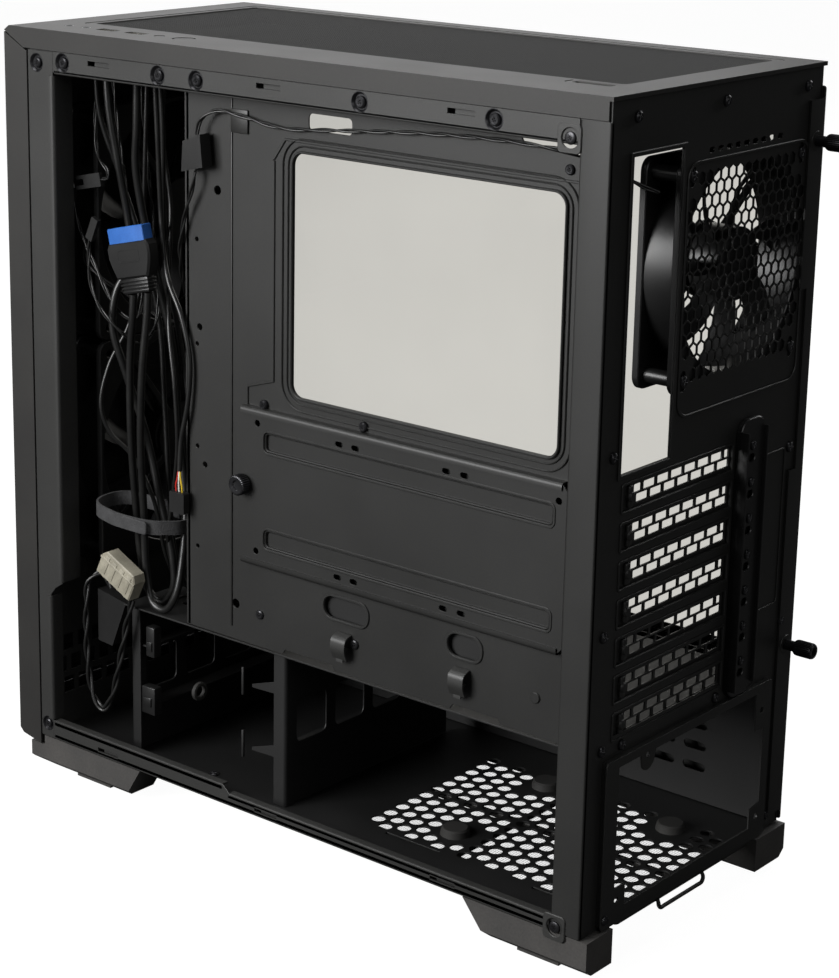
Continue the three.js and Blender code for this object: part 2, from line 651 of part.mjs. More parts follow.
// Diameter and route of each lead, from the part it leaves to its plug.
const leads = {
  usb_lead_1: [4.6, [
    [80, -147, 437.7], [80, -145, 415], [77, -141, 383], [72, -138, 347], [74, -135, 326],
    [82, -139, 309], [84, -140, 288], [80, -134, 262], [71, -127, 225], [69, -117, 185],
    [69, -107, 150], [69, -107, 132], [70, -116, 121.5], [71, -127, 128], [72, -131, 148],
    [76, -131, 185], [82, -128, 225], [85, -125, 270], [88, -119.5, 298], [88.3, -118.2, 312],
  ]],
  usb_lead_2: [4.6, [
    [80, -122, 437.7], [79, -124, 405], [77, -127, 384], [71, -126, 350], [67, -117, 311],
    [64, -111, 276], [64, -106, 225], [66, -99, 185], [73, -95, 155], [79, -95, 133],
    [80, -103, 122], [80, -113, 124], [79, -119, 140], [80, -120, 180], [86, -116, 225],
    [89, -111, 270], [88.5, -107.5, 300], [88.3, -106.6, 314.8],
  ]],
  audio_lead: [3, [
    [84, -104, 437.7], [82, -104, 400], [78, -106, 360], [79, -103, 338], [84, -94, 322],
    [86.5, -82, 305], [87, -75, 281], [87.5, -76, 256], [88, -81, 232], [88.5, -82, 216],
    [88.6, -82.2, 202],
  ]],
  switch_lead: [2.4, [
    [68, -155, 437.7], [66, -152, 400], [64, -144, 345], [68, -132, 302], [76, -130, 293],
    [80, -140, 298], [80, -156, 318], [79, -170, 338], [78.2, -177, 353], [78, -180.5, 363.6],
  ]],
  led_lead: [2.4, [
    [70, -167, 437.7], [70, -166, 424], [73, -164, 402], [78, -157, 388], [82, -150, 384],
    [83, -144, 380], [82.4, -144.5, 375.5], [82, -149.6, 374.2],
  ]],
  reset_lead: [2.4, [
    [67, -134, 437.7], [62, -133, 390], [58, -131, 330], [63, -125, 292], [76, -124, 280],
    [88, -133, 290], [91, -146, 304], [91, -152, 320], [91, -151.2, 339.6],
  ]],
  fan_lead: [2.6, [
    [71.4, -176, 330], [75, -172, 322], [72, -160, 312], [64, -150, 304], [54, -126, 290],
    [54, -106, 296], [67, -97, 312], [78, -90, 328], [86, -83, 346], [88.5, -76, 366], [90, -69, 381],
    [90, -67, 389.4],
  ]],
  rear_fan_lead: [2.6, [
    [90, -66, 409.7], [90, -63, 418], [88, -54, 424], [87, -36, 423], [86.5, -8, 419.5],
    [86.5, 34, 422.5], [86.5, 88, 427], [86.5, 126, 428.8], [86.5, 160, 429], [84, 176, 427.6],
    [78, 181, 424.6], [62, 183, 419], [50, 187, 413], [41, 194, 407], [35.4, 200, 404],
  ]],
  power_lead: [4.4, [
    [87.5, -123, 125.4], [87.5, -127, 112], [87.5, -134, 84], [87.5, -141, 60], [87.5, -149, 49],
    [87.5, -157, 55], [87.5, -162, 78], [87, -163, 110], [85, -162, 128], [79.5, -156, 133],
    [78, -150.5, 124],
  ]],
};

// Hook-and-loop strap closed round the bundle.
function cableStrap() {
  const outer = prism("z", roundedOutline(53, 95, -160, -90, 7), 171, 180);
  const inner = prism("z", roundedOutline(54.4, 93.6, -158.6, -91.4, 6), 170, 181);
  place("cable_strap", cut(outer, [inner]), "cloth");
}

chassisTop();
chassisBottom();
chassisFront();
rearPanel();
boardTray();
supplyShroud();
diskCage();
slotCovers();
slotBar();
fans();
topCap();
topFilter();
frontBezel();
frontMesh();
supplyFilter();
leftCover();
coverThumbscrews();
diskPlate();
diskPlateScrew();
feet();
portBoard();
button("reset_button", resetY, 3);
button("power_button", powerY, 6.4);
headerPlug();
smallPlugs();
powerPlugs();
for (const [name, [diameter, points]] of Object.entries(leads)) lead(name, diameter, points);
cableStrap();

// The middle of the outer box sits over the origin.
const bounds = new THREE.Box3().setFromObject(tower);
tower.position.y = -(bounds.min.y + bounds.max.y) / 2;

export default tower;
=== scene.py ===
import math

import bmesh
import bpy
from mathutils import Matrix, Vector


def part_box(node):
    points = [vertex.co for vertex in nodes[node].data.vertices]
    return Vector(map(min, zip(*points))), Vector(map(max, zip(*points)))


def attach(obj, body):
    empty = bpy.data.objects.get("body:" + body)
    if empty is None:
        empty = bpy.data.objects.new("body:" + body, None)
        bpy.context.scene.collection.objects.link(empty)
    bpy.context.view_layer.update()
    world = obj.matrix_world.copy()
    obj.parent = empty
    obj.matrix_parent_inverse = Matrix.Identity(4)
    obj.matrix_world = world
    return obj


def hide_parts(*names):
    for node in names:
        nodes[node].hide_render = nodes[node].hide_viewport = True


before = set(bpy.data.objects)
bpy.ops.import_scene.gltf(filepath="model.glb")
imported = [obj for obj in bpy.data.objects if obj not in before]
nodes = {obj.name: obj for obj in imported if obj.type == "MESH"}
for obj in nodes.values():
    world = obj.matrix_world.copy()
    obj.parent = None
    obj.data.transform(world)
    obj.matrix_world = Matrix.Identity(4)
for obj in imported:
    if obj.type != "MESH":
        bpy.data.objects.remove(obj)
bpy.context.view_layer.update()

# Millimetres in this file: x from the middle, y with the front wall at -192, z from the floor.
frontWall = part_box("chassis_front")[0].y * 1000 + 192
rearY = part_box("slot_cover_1")[1].y * 1000 - frontWall + 1.3  # outer face of the rear panel
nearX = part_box("chassis_bottom")[1].x * 1000
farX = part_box("chassis_bottom")[0].x * 1000
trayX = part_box("board_tray")[1].x * 1000
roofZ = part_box("chassis_top")[1].z * 1000
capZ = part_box("top_cap")[1].z * 1000
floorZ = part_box("chassis_bottom")[0].z * 1000


def spot(x, y, z):
    return Vector((x, y + frontWall, z)) / 1000


# Lowest and highest point of a node along an axis, in this file's millimetres.
def span(name, axis):
    low, high = (corner["xyz".index(axis)] * 1000 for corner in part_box(name))
    shift = frontWall if axis == "y" else 0
    return low - shift, high - shift


# The camera: angles in degrees, lens and place in millimetres, shift in shares of the frame.
camera = {
    "azimuth": 130.24, "elevation": 14.92, "roll": 0.77, "lens": 88.75, "shift": (0.0694, -0.0933),
    "at": (1036.5, 848.8, 611.8),
}


def setCamera():
    azimuth = math.radians(camera["azimuth"])
    elevation = math.radians(camera["elevation"])
    level = math.cos(elevation)
    back = Vector((math.sin(azimuth) * level, -math.cos(azimuth) * level, math.sin(elevation)))
    right = Vector((0, 0, 1)).cross(back).normalized()
    axes = Matrix((right, back.cross(right), back)).transposed()
    axes = axes @ Matrix.Rotation(math.radians(camera["roll"]), 3, "Z")
    lens = bpy.data.cameras.new("camera")
    lens.lens = camera["lens"]
    lens.shift_x, lens.shift_y = camera["shift"]
    lens.clip_end = 60
    eye = bpy.data.objects.new("camera", lens)
    eye.matrix_world = Matrix.Translation(spot(*camera["at"])) @ axes.to_4x4()
    bpy.context.scene.collection.objects.link(eye)
    bpy.context.scene.camera = eye


setCamera()

# Materials, all from noise and waves.


def colour(code, alpha=1.0):
    parts = [int(code[i : i + 2], 16) / 255 for i in (1, 3, 5)]
    return (*[c / 12.92 if c <= 0.04045 else ((c + 0.055) / 1.055) ** 2.4 for c in parts], alpha)


# Adds a node; inputs are plain values or the output of another node.
def addNode(tree, kind, inputs=None, **settings):
    made = tree.nodes.new("ShaderNode" + kind)
    for key, value in settings.items():
        setattr(made, key, value)
    for key, value in (inputs or {}).items():
        if isinstance(value, bpy.types.NodeSocket):
            tree.links.new(value, made.inputs[key])
        else:
            made.inputs[key].default_value = value
    return made


def startMaterial(name):
    made = bpy.data.materials.new(name)
    made.use_nodes = True
    made.node_tree.nodes.clear()
    return made, made.node_tree


def finishMaterial(tree, shader):
    addNode(tree, "OutputMaterial", {"Surface": shader})


def ramp(tree, factor, stops, interpolation="LINEAR"):
    made = addNode(tree, "ValToRGB", {"Fac": factor})
    made.color_ramp.interpolation = interpolation
    for i, (position, tint) in enumerate(stops):
        element = made.color_ramp.elements[i] if i < 2 else made.color_ramp.elements.new(position)
        element.position = position
        element.color = tint
    return made.outputs["Color"]


# A coated or moulded surface: fine grain in the bump, slow drift in colour and gloss.
def grainedMaterial(name, look):
    made, tree = startMaterial(name)
    where = addNode(tree, "TexCoord").outputs["Object"]
    grain = addNode(
        tree, "TexNoise",
        {"Vector": where, "Scale": 1000 / look["grain"], "Detail": 2.0, "Roughness": 0.6},
    )
    cloud = addNode(tree, "TexNoise", {"Vector": where, "Scale": 1000 / look["cloud"], "Detail": 3.0})
    low, high = look["colours"]
    tint = ramp(tree, cloud.outputs["Fac"], [(0.3, colour(low)), (0.7, colour(high))])
    fine = addNode(
        tree, "MapRange",
        {
            "Value": grain.outputs["Fac"], "From Min": 0.3, "From Max": 0.7, "To Min": 0.86,
            "To Max": 1.14,
        },
    )
    tint = addNode(
        tree, "VectorMath", {0: tint, "Scale": fine.outputs["Result"]}, operation="SCALE",
    ).outputs["Vector"]
    dull, wide = look["roughness"]
    gloss = addNode(
        tree, "MapRange", {"Value": cloud.outputs["Fac"], "To Min": dull, "To Max": wide},
    ).outputs["Result"]
    bump = addNode(
        tree, "Bump",
        {"Height": grain.outputs["Fac"], "Strength": look["bump"], "Distance": look["depth"] / 1000},
    )
    surface = {
        "Base Color": tint, "Roughness": gloss, "Normal": bump.outputs["Normal"],
        "Metallic": look.get("metallic", 0.0),
    }
    shader = addNode(tree, "BsdfPrincipled", surface)
    finishMaterial(tree, shader.outputs["BSDF"])
    return made


# Grain and cloud are sizes in millimetres. The finest grains are drawn two to three times their real size.
looks = {
    # Powder-coated steel: nearly black, satin, with the orange peel of the coat.
    "powderCoatedSteel": {
        "colours": ("#262625", "#2b2b2a"), "roughness": (0.4, 0.5), "grain": 1.1, "cloud": 60,
        "bump": 0.25, "depth": 0.12,
    },
    # Powder-coated steel of the rear wall: the same coat, smoother, painted darker as painted shade, for
    # the walls that face away from the lamps.
    "steelPaintedShade": {
        "colours": ("#1c1c1b", "#20201f"), "roughness": (0.42, 0.5), "grain": 1.1, "cloud": 60,
        "bump": 0.2, "depth": 0.12,
    },
    # The same coat on the tray and its plate, painted a little darker as painted shade, as the tray sits
    # deep inside the case.
    "traySteelPaintedShade": {
        "colours": ("#191918", "#1d1d1c"), "roughness": (0.42, 0.52), "grain": 1.1, "cloud": 60,
        "bump": 0.25, "depth": 0.12,
    },
    # The same coat on the parts inside, flat, painted very dark as painted shade deep in the case.
    "steelPaintedDeepShade": {
        "colours": ("#0b0b0b", "#101010"), "roughness": (0.5, 0.6), "grain": 1.1, "cloud": 40,
        "bump": 0.2, "depth": 0.1,
    },
    # Moulding of the feet, painted lighter than the shell as painted light from the floor, with a coarser
    # grain.
    "footShellPaintedLight": {
        "colours": ("#3a3938", "#42403e"), "roughness": (0.5, 0.6), "grain": 1.3, "cloud": 30,
        "bump": 0.3, "depth": 0.12,
    },
    # ABS moulded against a spark-eroded tool: fine dull grain.
    "mouldedShell": {
        "colours": ("#1b1a19", "#201f1d"), "roughness": (0.48, 0.56), "grain": 0.9, "cloud": 45,
        "bump": 0.3, "depth": 0.1,
    },
    # Glass-filled nylon of fans and bars: blacker and a little glossier.
    "blackNylon": {
        "colours": ("#131313", "#181818"), "roughness": (0.32, 0.42), "grain": 0.8, "cloud": 25,
        "bump": 0.15, "depth": 0.08,
    },
    # Zinc-plated screws under black chromate: dark metal with soft highlights.
    "blackenedScrew": {
        "colours": ("#2e2e30", "#3a3a3c"), "roughness": (0.28, 0.36), "grain": 0.5, "cloud": 8,
        "bump": 0.1, "depth": 0.05, "metallic": 0.8,
    },
    # Soft rubber of pads and grommets.
    "padRubber": {
        "colours": ("#1b1a19", "#22211f"), "roughness": (0.7, 0.85), "grain": 0.9, "cloud": 20,
        "bump": 0.3, "depth": 0.1,
    },
    # PVC sheath of the leads: semi-gloss black.
    "leadSheath": {
        "colours": ("#111111", "#181817"), "roughness": (0.3, 0.42), "grain": 1.2, "cloud": 14,
        "bump": 0.12, "depth": 0.06,
    },
    # Dyed ABS of the wide plug's shell.
    "bluePlug": {
        "colours": ("#23549a", "#2c62ad"), "roughness": (0.38, 0.46), "grain": 0.7, "cloud": 10,
        "bump": 0.15, "depth": 0.06,
    },
    # Natural nylon of the power plug, a little yellowed.
    "creamNylon": {
        "colours": ("#7a7669", "#969182"), "roughness": (0.4, 0.5), "grain": 0.7, "cloud": 9,
        "bump": 0.2, "depth": 0.06,
    },
    # White nylon of the switch plug and of one sound wire.
    "whiteNylon": {
        "colours": ("#b9b9b4", "#cbcbc6"), "roughness": (0.4, 0.5), "grain": 0.7, "cloud": 9,
        "bump": 0.15, "depth": 0.05,
    },
    # Nickel-plated spring steel of sockets.
    "nickelPlate": {
        "colours": ("#b8b6b0", "#cac8c2"), "roughness": (0.2, 0.3), "grain": 0.6, "cloud": 8,
        "bump": 0.08, "depth": 0.04, "metallic": 1.0,
    },
    # Green solder mask over glass laminate.
    "solderMask": {
        "colours": ("#17301f", "#1d3c28"), "roughness": (0.3, 0.4), "grain": 0.9, "cloud": 12,
        "bump": 0.1, "depth": 0.05,
    },
    # Loop pile of the cable strap.
    "strapPile": {
        "colours": ("#2b2b2c", "#3a3a3b"), "roughness": (0.85, 0.95), "grain": 0.9, "cloud": 6,
        "bump": 0.8, "depth": 0.4,
    },
    # Coloured PVC of the three thin wires.
    "redWire": {
        "colours": ("#9a2018", "#b8281d"), "roughness": (0.35, 0.45), "grain": 0.8, "cloud": 6,
        "bump": 0.1, "depth": 0.04,
    },
    "yellowWire": {
        "colours": ("#b89a1e", "#d0b02a"), "roughness": (0.35, 0.45), "grain": 0.8, "cloud": 6,
        "bump": 0.1, "depth": 0.04,
    },
}
finishes = {name: grainedMaterial(name, look) for name, look in looks.items()}


# Woven nylon in a moulded frame: threads in the bump and small gaps that let light through.
def meshMaterial(name, pitch, open, code, across=("X", "Y")):
    made, tree = startMaterial(name)
    where = addNode(tree, "TexCoord").outputs["Object"]
    rounds = 2 * math.pi * 1000 / pitch
    split = addNode(tree, "SeparateXYZ", {"Vector": where})
    waves = []
    for axis in across:
        turn = addNode(
            tree, "Math", {0: split.outputs[axis], 1: rounds}, operation="MULTIPLY",
        ).outputs["Value"]
        waves.append(addNode(tree, "Math", {0: turn}, operation="SINE").outputs["Value"])
    thread = addNode(tree, "Math", {0: waves[0], 1: waves[1]}, operation="MAXIMUM").outputs["Value"]
    bump = addNode(tree, "Bump", {"Height": thread, "Strength": 0.5, "Distance": 0.0002})
    cloud = addNode(tree, "TexNoise", {"Vector": where, "Scale": 30.0, "Detail": 2.0})
    tint = ramp(tree, cloud.outputs["Fac"], [(0.3, colour(code)), (0.7, colour(code))])
    shade = addNode(
        tree, "MapRange", {"Value": thread, "From Min": -1.0, "To Min": 0.55, "To Max": 1.1},
    ).outputs["Result"]
    tint = addNode(tree, "VectorMath", {0: tint, "Scale": shade}, operation="SCALE").outputs["Vector"]
    solid = addNode(tree, "Math", {0: thread, 1: open}, operation="GREATER_THAN").outputs["Value"]
    shader = addNode(
        tree, "BsdfPrincipled",
        {
            "Base Color": tint, "Roughness": 0.75, "Normal": bump.outputs["Normal"], "Alpha": solid,
            "Specular IOR Level": 0.2,
        },
    )
    finishMaterial(tree, shader.outputs["BSDF"])
    return made


finishes["filterMesh"] = meshMaterial("filterMesh", 1.6, -0.75, "#111110")
finishes["frontMesh"] = meshMaterial("frontMesh", 1.6, -0.75, "#2a2a29", ("X", "Z"))
finishes["fineMesh"] = meshMaterial("fineMesh", 1.6, 0.97, "#3a3a39")


# Grey-tinted acrylic: lets just over half of the light through and mirrors a little at a slant.
def paneMaterial(name):
    made, tree = startMaterial(name)
    where = addNode(tree, "TexCoord").outputs["Object"]
    cloud = addNode(tree, "TexNoise", {"Vector": where, "Scale": 8.0, "Detail": 2.0})
    tint = ramp(tree, cloud.outputs["Fac"], [(0.3, colour("#e0dfdc")), (0.7, colour("#e3e2df"))])
    clear = addNode(tree, "BsdfTransparent", {"Color": tint})
    mirror = addNode(tree, "BsdfGlossy", {"Color": (0.6, 0.6, 0.6, 1), "Roughness": 0.05})
    slant = addNode(tree, "Fresnel", {"IOR": 1.3})
    mixed = addNode(
        tree, "MixShader",
        {0: slant.outputs["Fac"], 1: clear.outputs["BSDF"], 2: mirror.outputs["BSDF"]},
    )
    finishMaterial(tree, mixed.outputs["Shader"])
    return made


finishes["tintedPane"] = paneMaterial("tintedPane")
print("materials made")

# Shapes, in millimetres.


# A flat sheet with holes, cut square to an axis; outline and holes are in the two other axes, in x, y,
# z order.
def plate(axis, low, high, outline, holes=(), edge=0.15):
    line = bpy.data.curves.new("outline", "CURVE")
    line.dimensions = "2D"
    line.fill_mode = "BOTH"
    thick = high - low
    edge = min(edge, thick / 2.01)
    line.extrude = thick / 2 - edge
    line.bevel_depth = edge
    line.bevel_resolution = 0
    line.offset = -edge
    for ring in [outline, *holes]:
        spline = line.splines.new("POLY")
        spline.points.add(len(ring) - 1)
        for point, (u, v) in zip(spline.points, ring):
            point.co = (u, v, 0, 1)
        spline.use_cyclic_u = True
    shown = bpy.data.objects.new("outline", line)
    bpy.context.scene.collection.objects.link(shown)
    mesh = bpy.data.meshes.new_from_object(shown.evaluated_get(bpy.context.evaluated_depsgraph_get()))
    bpy.data.objects.remove(shown)
    bpy.data.curves.remove(line)
    middle = (low + high) / 2
    made = bmesh.new()
    made.from_mesh(mesh)
    bpy.data.meshes.remove(mesh)
    bmesh.ops.remove_doubles(made, verts=made.verts, dist=0.002)
    for v in made.verts:
        a, b, c = v.co
        v.co = {"x": (middle + c, a, b), "y": (a, middle + c, b), "z": (a, b, middle + c)}[axis]
    return made


def rounded(u0, u1, v0, v1, r, steps=5):
    ring = []
    for cu, cv, start in (
        (u1 - r, v1 - r, 0), (u0 + r, v1 - r, 90), (u0 + r, v0 + r, 180), (u1 - r, v0 + r, 270),
    ):
        for i in range(steps + 1):
            angle = math.radians(start + 90 * i / steps)
            ring.append((cu + r * math.cos(angle), cv + r * math.sin(angle)))
    return ring


def polygon(u, v, radius, sides, turn=0.0):
    angles = [2 * math.pi * i / sides + turn for i in range(sides)]
    return [(u + radius * math.cos(a), v + radius * math.sin(a)) for a in angles]


def rectangle(u0, u1, v0, v1):
    return [(u0, v0), (u1, v0), (u1, v1), (u0, v1)]


# A block with rounded edges.
def block(x0, x1, y0, y1, z0, z1, edge=0.4, steps=2):
    made = bmesh.new()
    bmesh.ops.create_cube(made, size=1)
    for v in made.verts:
        v.co = (
            (x0 + x1) / 2 + v.co.x * (x1 - x0), (y0 + y1) / 2 + v.co.y * (y1 - y0),
            (z0 + z1) / 2 + v.co.z * (z1 - z0),
        )
    edge = min(edge, 0.49 * min(x1 - x0, y1 - y0, z1 - z0))
    bmesh.ops.bevel(made, geom=made.edges[:], offset=edge, segments=steps, profile=0.5, affect="EDGES")
    return made


# A turned piece: profile points are (radius, distance along the axis); centre is in the two other axes.
def turned(axis, centre, profile, sides=24):
    made = bmesh.new()
    rings = []
    for radius, along in profile:
        if radius < 0.001:
            rings.append([made.verts.new((0, 0, along))])
            continue
        rings.append([made.verts.new((p[0], p[1], along)) for p in polygon(0, 0, radius, sides)])
    for low, high in zip(rings, rings[1:]):
        for i in range(sides):
            j = (i + 1) % sides
            corners = [low[i % len(low)], low[j % len(low)], high[j % len(high)], high[i % len(high)]]
            corners = list(dict.fromkeys(corners))
            if len(corners) > 2:
                made.faces.new(corners)
    u, v = centre
    for vert in made.verts:
        a, b, c = vert.co
        vert.co = {"x": (c, u + a, v + b), "y": (u + a, c, v + b), "z": (u + a, v + b, c)}[axis]
    return made


# Sheet metal folded along an axis: the profile is its outer line in the two other axes.
def folded(axis, profile, low, high, thick=1.0, bend=1.2, steps=4):
    line = [Vector(p) for p in profile]
    path = [line[0]]
    for before, corner, after in zip(line, line[1:], line[2:]):
        a, b = (before - corner).normalized(), (after - corner).normalized()
        r = min(bend, 0.45 * (before - corner).length, 0.45 * (after - corner).length)
        for i in range(steps + 1):
            t = i / steps
            path.append(
                (corner + a * r) * (1 - t) ** 2 + corner * 2 * t * (1 - t) + (corner + b * r) * t**2
            )
    path.append(line[-1])
    inner = []
    for i, point in enumerate(path):
        along = (path[min(i + 1, len(path) - 1)] - path[max(i - 1, 0)]).normalized()
        inner.append(point + Vector((-along.y, along.x)) * thick)
    made = bmesh.new()
    ring = [*path, *reversed(inner)]
    ends = []
    for along in (low, high):
        at = {
            "x": lambda p: (along, p.x, p.y), "y": lambda p: (p.x, along, p.y),
            "z": lambda p: (p.x, p.y, along),
        }[axis]
        ends.append([made.verts.new(at(p)) for p in ring])
    count = len(ring)
    for i in range(count):
        made.faces.new((ends[0][i], ends[0][(i + 1) % count], ends[1][(i + 1) % count], ends[1][i]))
    half = len(path)
    for verts in ends:
        for i in range(half - 1):
            made.faces.new((verts[i], verts[i + 1], verts[count - 2 - i], verts[count - 1 - i]))
    return made


# A round wire along points.
def wire(points, radius, sides=8, closed=False):
    made = bmesh.new()
    line = [Vector(p) for p in points]
    count = len(line)
    rings = []
    side = None
    for i, point in enumerate(line):
        before = line[i - 1] if closed else line[max(i - 1, 0)]
        after = line[(i + 1) % count] if closed else line[min(i + 1, count - 1)]
        along = (after - before).normalized()
        if side is None:
            side = along.orthogonal().normalized()
        side = (side - along * side.dot(along)).normalized()
        other = along.cross(side)
        rings.append(
            [
                made.verts.new(point + side * (radius * c) + other * (radius * s))
                for c, s in polygon(0, 0, 1, sides)
            ]
        )
    for i in range(count if closed else count - 1):
        low, high = rings[i], rings[(i + 1) % count]
        for k in range(sides):
            made.faces.new((low[k], low[(k + 1) % sides], high[(k + 1) % sides], high[k]))
    if not closed:
        made.faces.new(rings[0])
        made.faces.new(rings[-1])
    return made


# A smooth line through points, cut into steps of about that length.
def smoothLine(points, step=3.0, closed=False):
    line = [Vector(p) for p in points]
    count = len(line)
    made = []
    for i in range(count if closed else count - 1):
        p = [line[(i + k - 1) % count] for k in range(4)]
        if not closed and i == 0:
            p[0] = p[1] * 2 - p[2]
        if not closed and i == count - 2:
            p[3] = p[2] * 2 - p[1]
        t = [0.0]
        for low, high in zip(p, p[1:]):
            t.append(t[-1] + max((high - low).length ** 0.5, 0.001))
        parts = max(1, round((p[2] - p[1]).length / step))
        for j in range(parts):
            u = t[1] + (t[2] - t[1]) * j / parts
            row = p
            for reach in (1, 2):
                row = [mixPoints(row[k], row[k + 1], t[k], t[k + reach], u) for k in range(len(row) - 1)]
            made.append(mixPoints(row[0], row[1], t[1], t[2], u))
    if not closed:
        made.append(line[-1])
    return made


def mixPoints(low, high, start, end, at):
    share = (at - start) / (end - start)
    return low * (1 - share) + high * share


# Puts shapes together as one piece, in metres, with its finish, on its body.
def addPiece(name, shapes, finish, body="chassis", stands=(), sharp=32):
    whole = bmesh.new()
    for shape in shapes:
        spare = bpy.data.meshes.new("spare")
        bmesh.ops.recalc_face_normals(shape, faces=shape.faces)
        shape.to_mesh(spare)
        shape.free()
        whole.from_mesh(spare)
        bpy.data.meshes.remove(spare)
    for v in whole.verts:
        v.co = spot(*v.co)
    limit = math.radians(sharp)
    for face in whole.faces:
        face.smooth = True
    for e in whole.edges:
        e.smooth = len(e.link_faces) == 2 and e.calc_face_angle(0) < limit
    mesh = bpy.data.meshes.new(name)
    whole.to_mesh(mesh)
    whole.free()
    made = bpy.data.objects.new(name, mesh)
    bpy.context.scene.collection.objects.link(made)
    mesh.materials.append(finishes[finish])
    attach(made, body)
    if stands:
        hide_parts(*stands)
    return made


# A node kept as it is: its edges are rounded and it gets a finish.
def keepNode(name, finish, edge=0.4, segments=2):
    node = nodes[name]
    node.data.materials.clear()
    node.data.materials.append(finishes[finish])
    if edge:
        soft = node.modifiers.new("edges", "BEVEL")
        soft.width = edge / 1000
        soft.segments = segments
        soft.limit_method = "ANGLE"
        soft.angle_limit = math.radians(35)
        soft.use_clamp_overlap = True
        soft.harden_normals = False
    return node


# The steel walls of the chassis.

# Screws: a low round head with a crossed recess, its axis along x, y or z, facing out or in.
def screw(axis, u, v, at, radius=3.2, high=1.6, way=1):
    profile = [
        (0, high * 0.55), (radius * 0.28, high * 0.6), (radius * 0.34, high * 0.98),
        (radius * 0.7, high),
    ]
    profile += [(radius * 0.93, high * 0.7), (radius, high * 0.3), (radius, 0)]
    head = turned(axis, (u, v), [(r, at + way * along) for r, along in profile], 20)
    shapes = [head]
    for turn in (0.4, 0.4 + math.pi / 2):
        arm = Vector((math.cos(turn), math.sin(turn))) * radius * 0.62
        side = Vector((-arm.y, arm.x)).normalized() * radius * 0.11
        ring = [(u + p.x, v + p.y) for p in (arm + side, -arm + side, -arm - side, arm - side)]
        start, end = sorted((at + way * high * 0.5, at + way * high * 1.06))
        shapes.append(plate(axis, start, end, ring))
    return shapes


def screws(axis, places, at, radius, high):
    return [shape for u, v in places for shape in screw(axis, u, v, at, radius, high)]


# A round dish pressed into the sheet around a screw.
def dish(axis, u, v, at, radius, deep, way=1):
    profile = [(radius, 0.05), (radius * 0.93, 0.05), (radius * 0.72, -deep), (0, -deep)]
    return turned(axis, (u, v), [(r, at + way * along) for r, along in profile], 28)


# Rows of a hexagonal grid lie this share of the pitch apart, and a hexagon is this
# much wider over its corners than over its flats.
hexRow, hexCorner = 0.866, 1.1547
roof = {
    "corners": ((190.5, 437.6), (198.6, 27.5)), "hooks": (-142, -13.5, 115), "hookLength": 17,
    "screwYs": (-163, -87, -58, 58, 144), "railLowZ": 434,
}


def makeRoof():
    slots = [rectangle(y, y + roof["hookLength"], 441.3, 444) for y in roof["hooks"]]
    dishes = [polygon(y, 441, 5.6, 20) for y in roof["screwYs"]]
    outline = rectangle(-171, 195, roof["railLowZ"] + 1, roofZ)
    shapes = [
        plate("x", nearX - 1, nearX, outline, slots + dishes),
        plate("x", farX, farX + 1, outline, slots),
    ]
    shapes += [
        folded("y", [(nearX - 8, 434), (nearX, 434), (nearX, 436)], -170, 194),
        folded("y", [(farX, 436), (farX, 434), (farX + 8, 434)], -170, 194),
    ]
    vents = [rounded(-78, 50, low, low + 132, 10) for low in (-120, 25)]
    ports = rectangle(64, 88, -189, -78)
    shapes.append(
        plate(
            "z", roofZ - 1, roofZ - 0.02, rectangle(farX + 0.5, nearX - 0.5, -190, rearY - 1.2),
            [*vents, ports],
        )
    )
    for slot in roof["hooks"]:
        shapes.append(plate("x", nearX - 3.2, nearX - 2.4, rectangle(slot + 3, slot + 19, 439, 445)))
    addPiece("roof-and-rails", shapes, "powderCoatedSteel", stands=["chassis_top"])
    heads = []
    for y in roof["screwYs"]:
        heads.append(dish("x", y, 441, nearX - 0.05, 5.7, 1.5))
        heads += screw("x", y, 441, nearX - 1.5, 3.4, 1.7)
    addPiece("roof-rail-screws", heads, "blackenedScrew")
    # Corner brackets of the rear pillar, each under a sunk screw.
    brackets = []
    heads = []
    for y, z in roof["corners"]:
        ring = rounded(y - 8, y + 6, z - 8, z + 6.5, 2.5)
        brackets.append(
            plate("x", nearX - 0.2, nearX + 0.8, ring, [polygon(y - 0.5, z - 0.5, 5, 20)], 0.4)
        )
        heads += screw("x", y - 0.5, z - 0.5, nearX + 0.02, 3.3, 1.2)
    addPiece("corner-brackets", brackets, "powderCoatedSteel")
    addPiece("corner-screws", heads, "blackenedScrew")


makeRoof()

floor = {
    "hole": 4.1, "pitch": 10.9, "xs": (-54, 62), "ys": (42.7, 206),
    "pads": ((42, 88), (-45, 88), (-45, 175), (42, 175)),
}


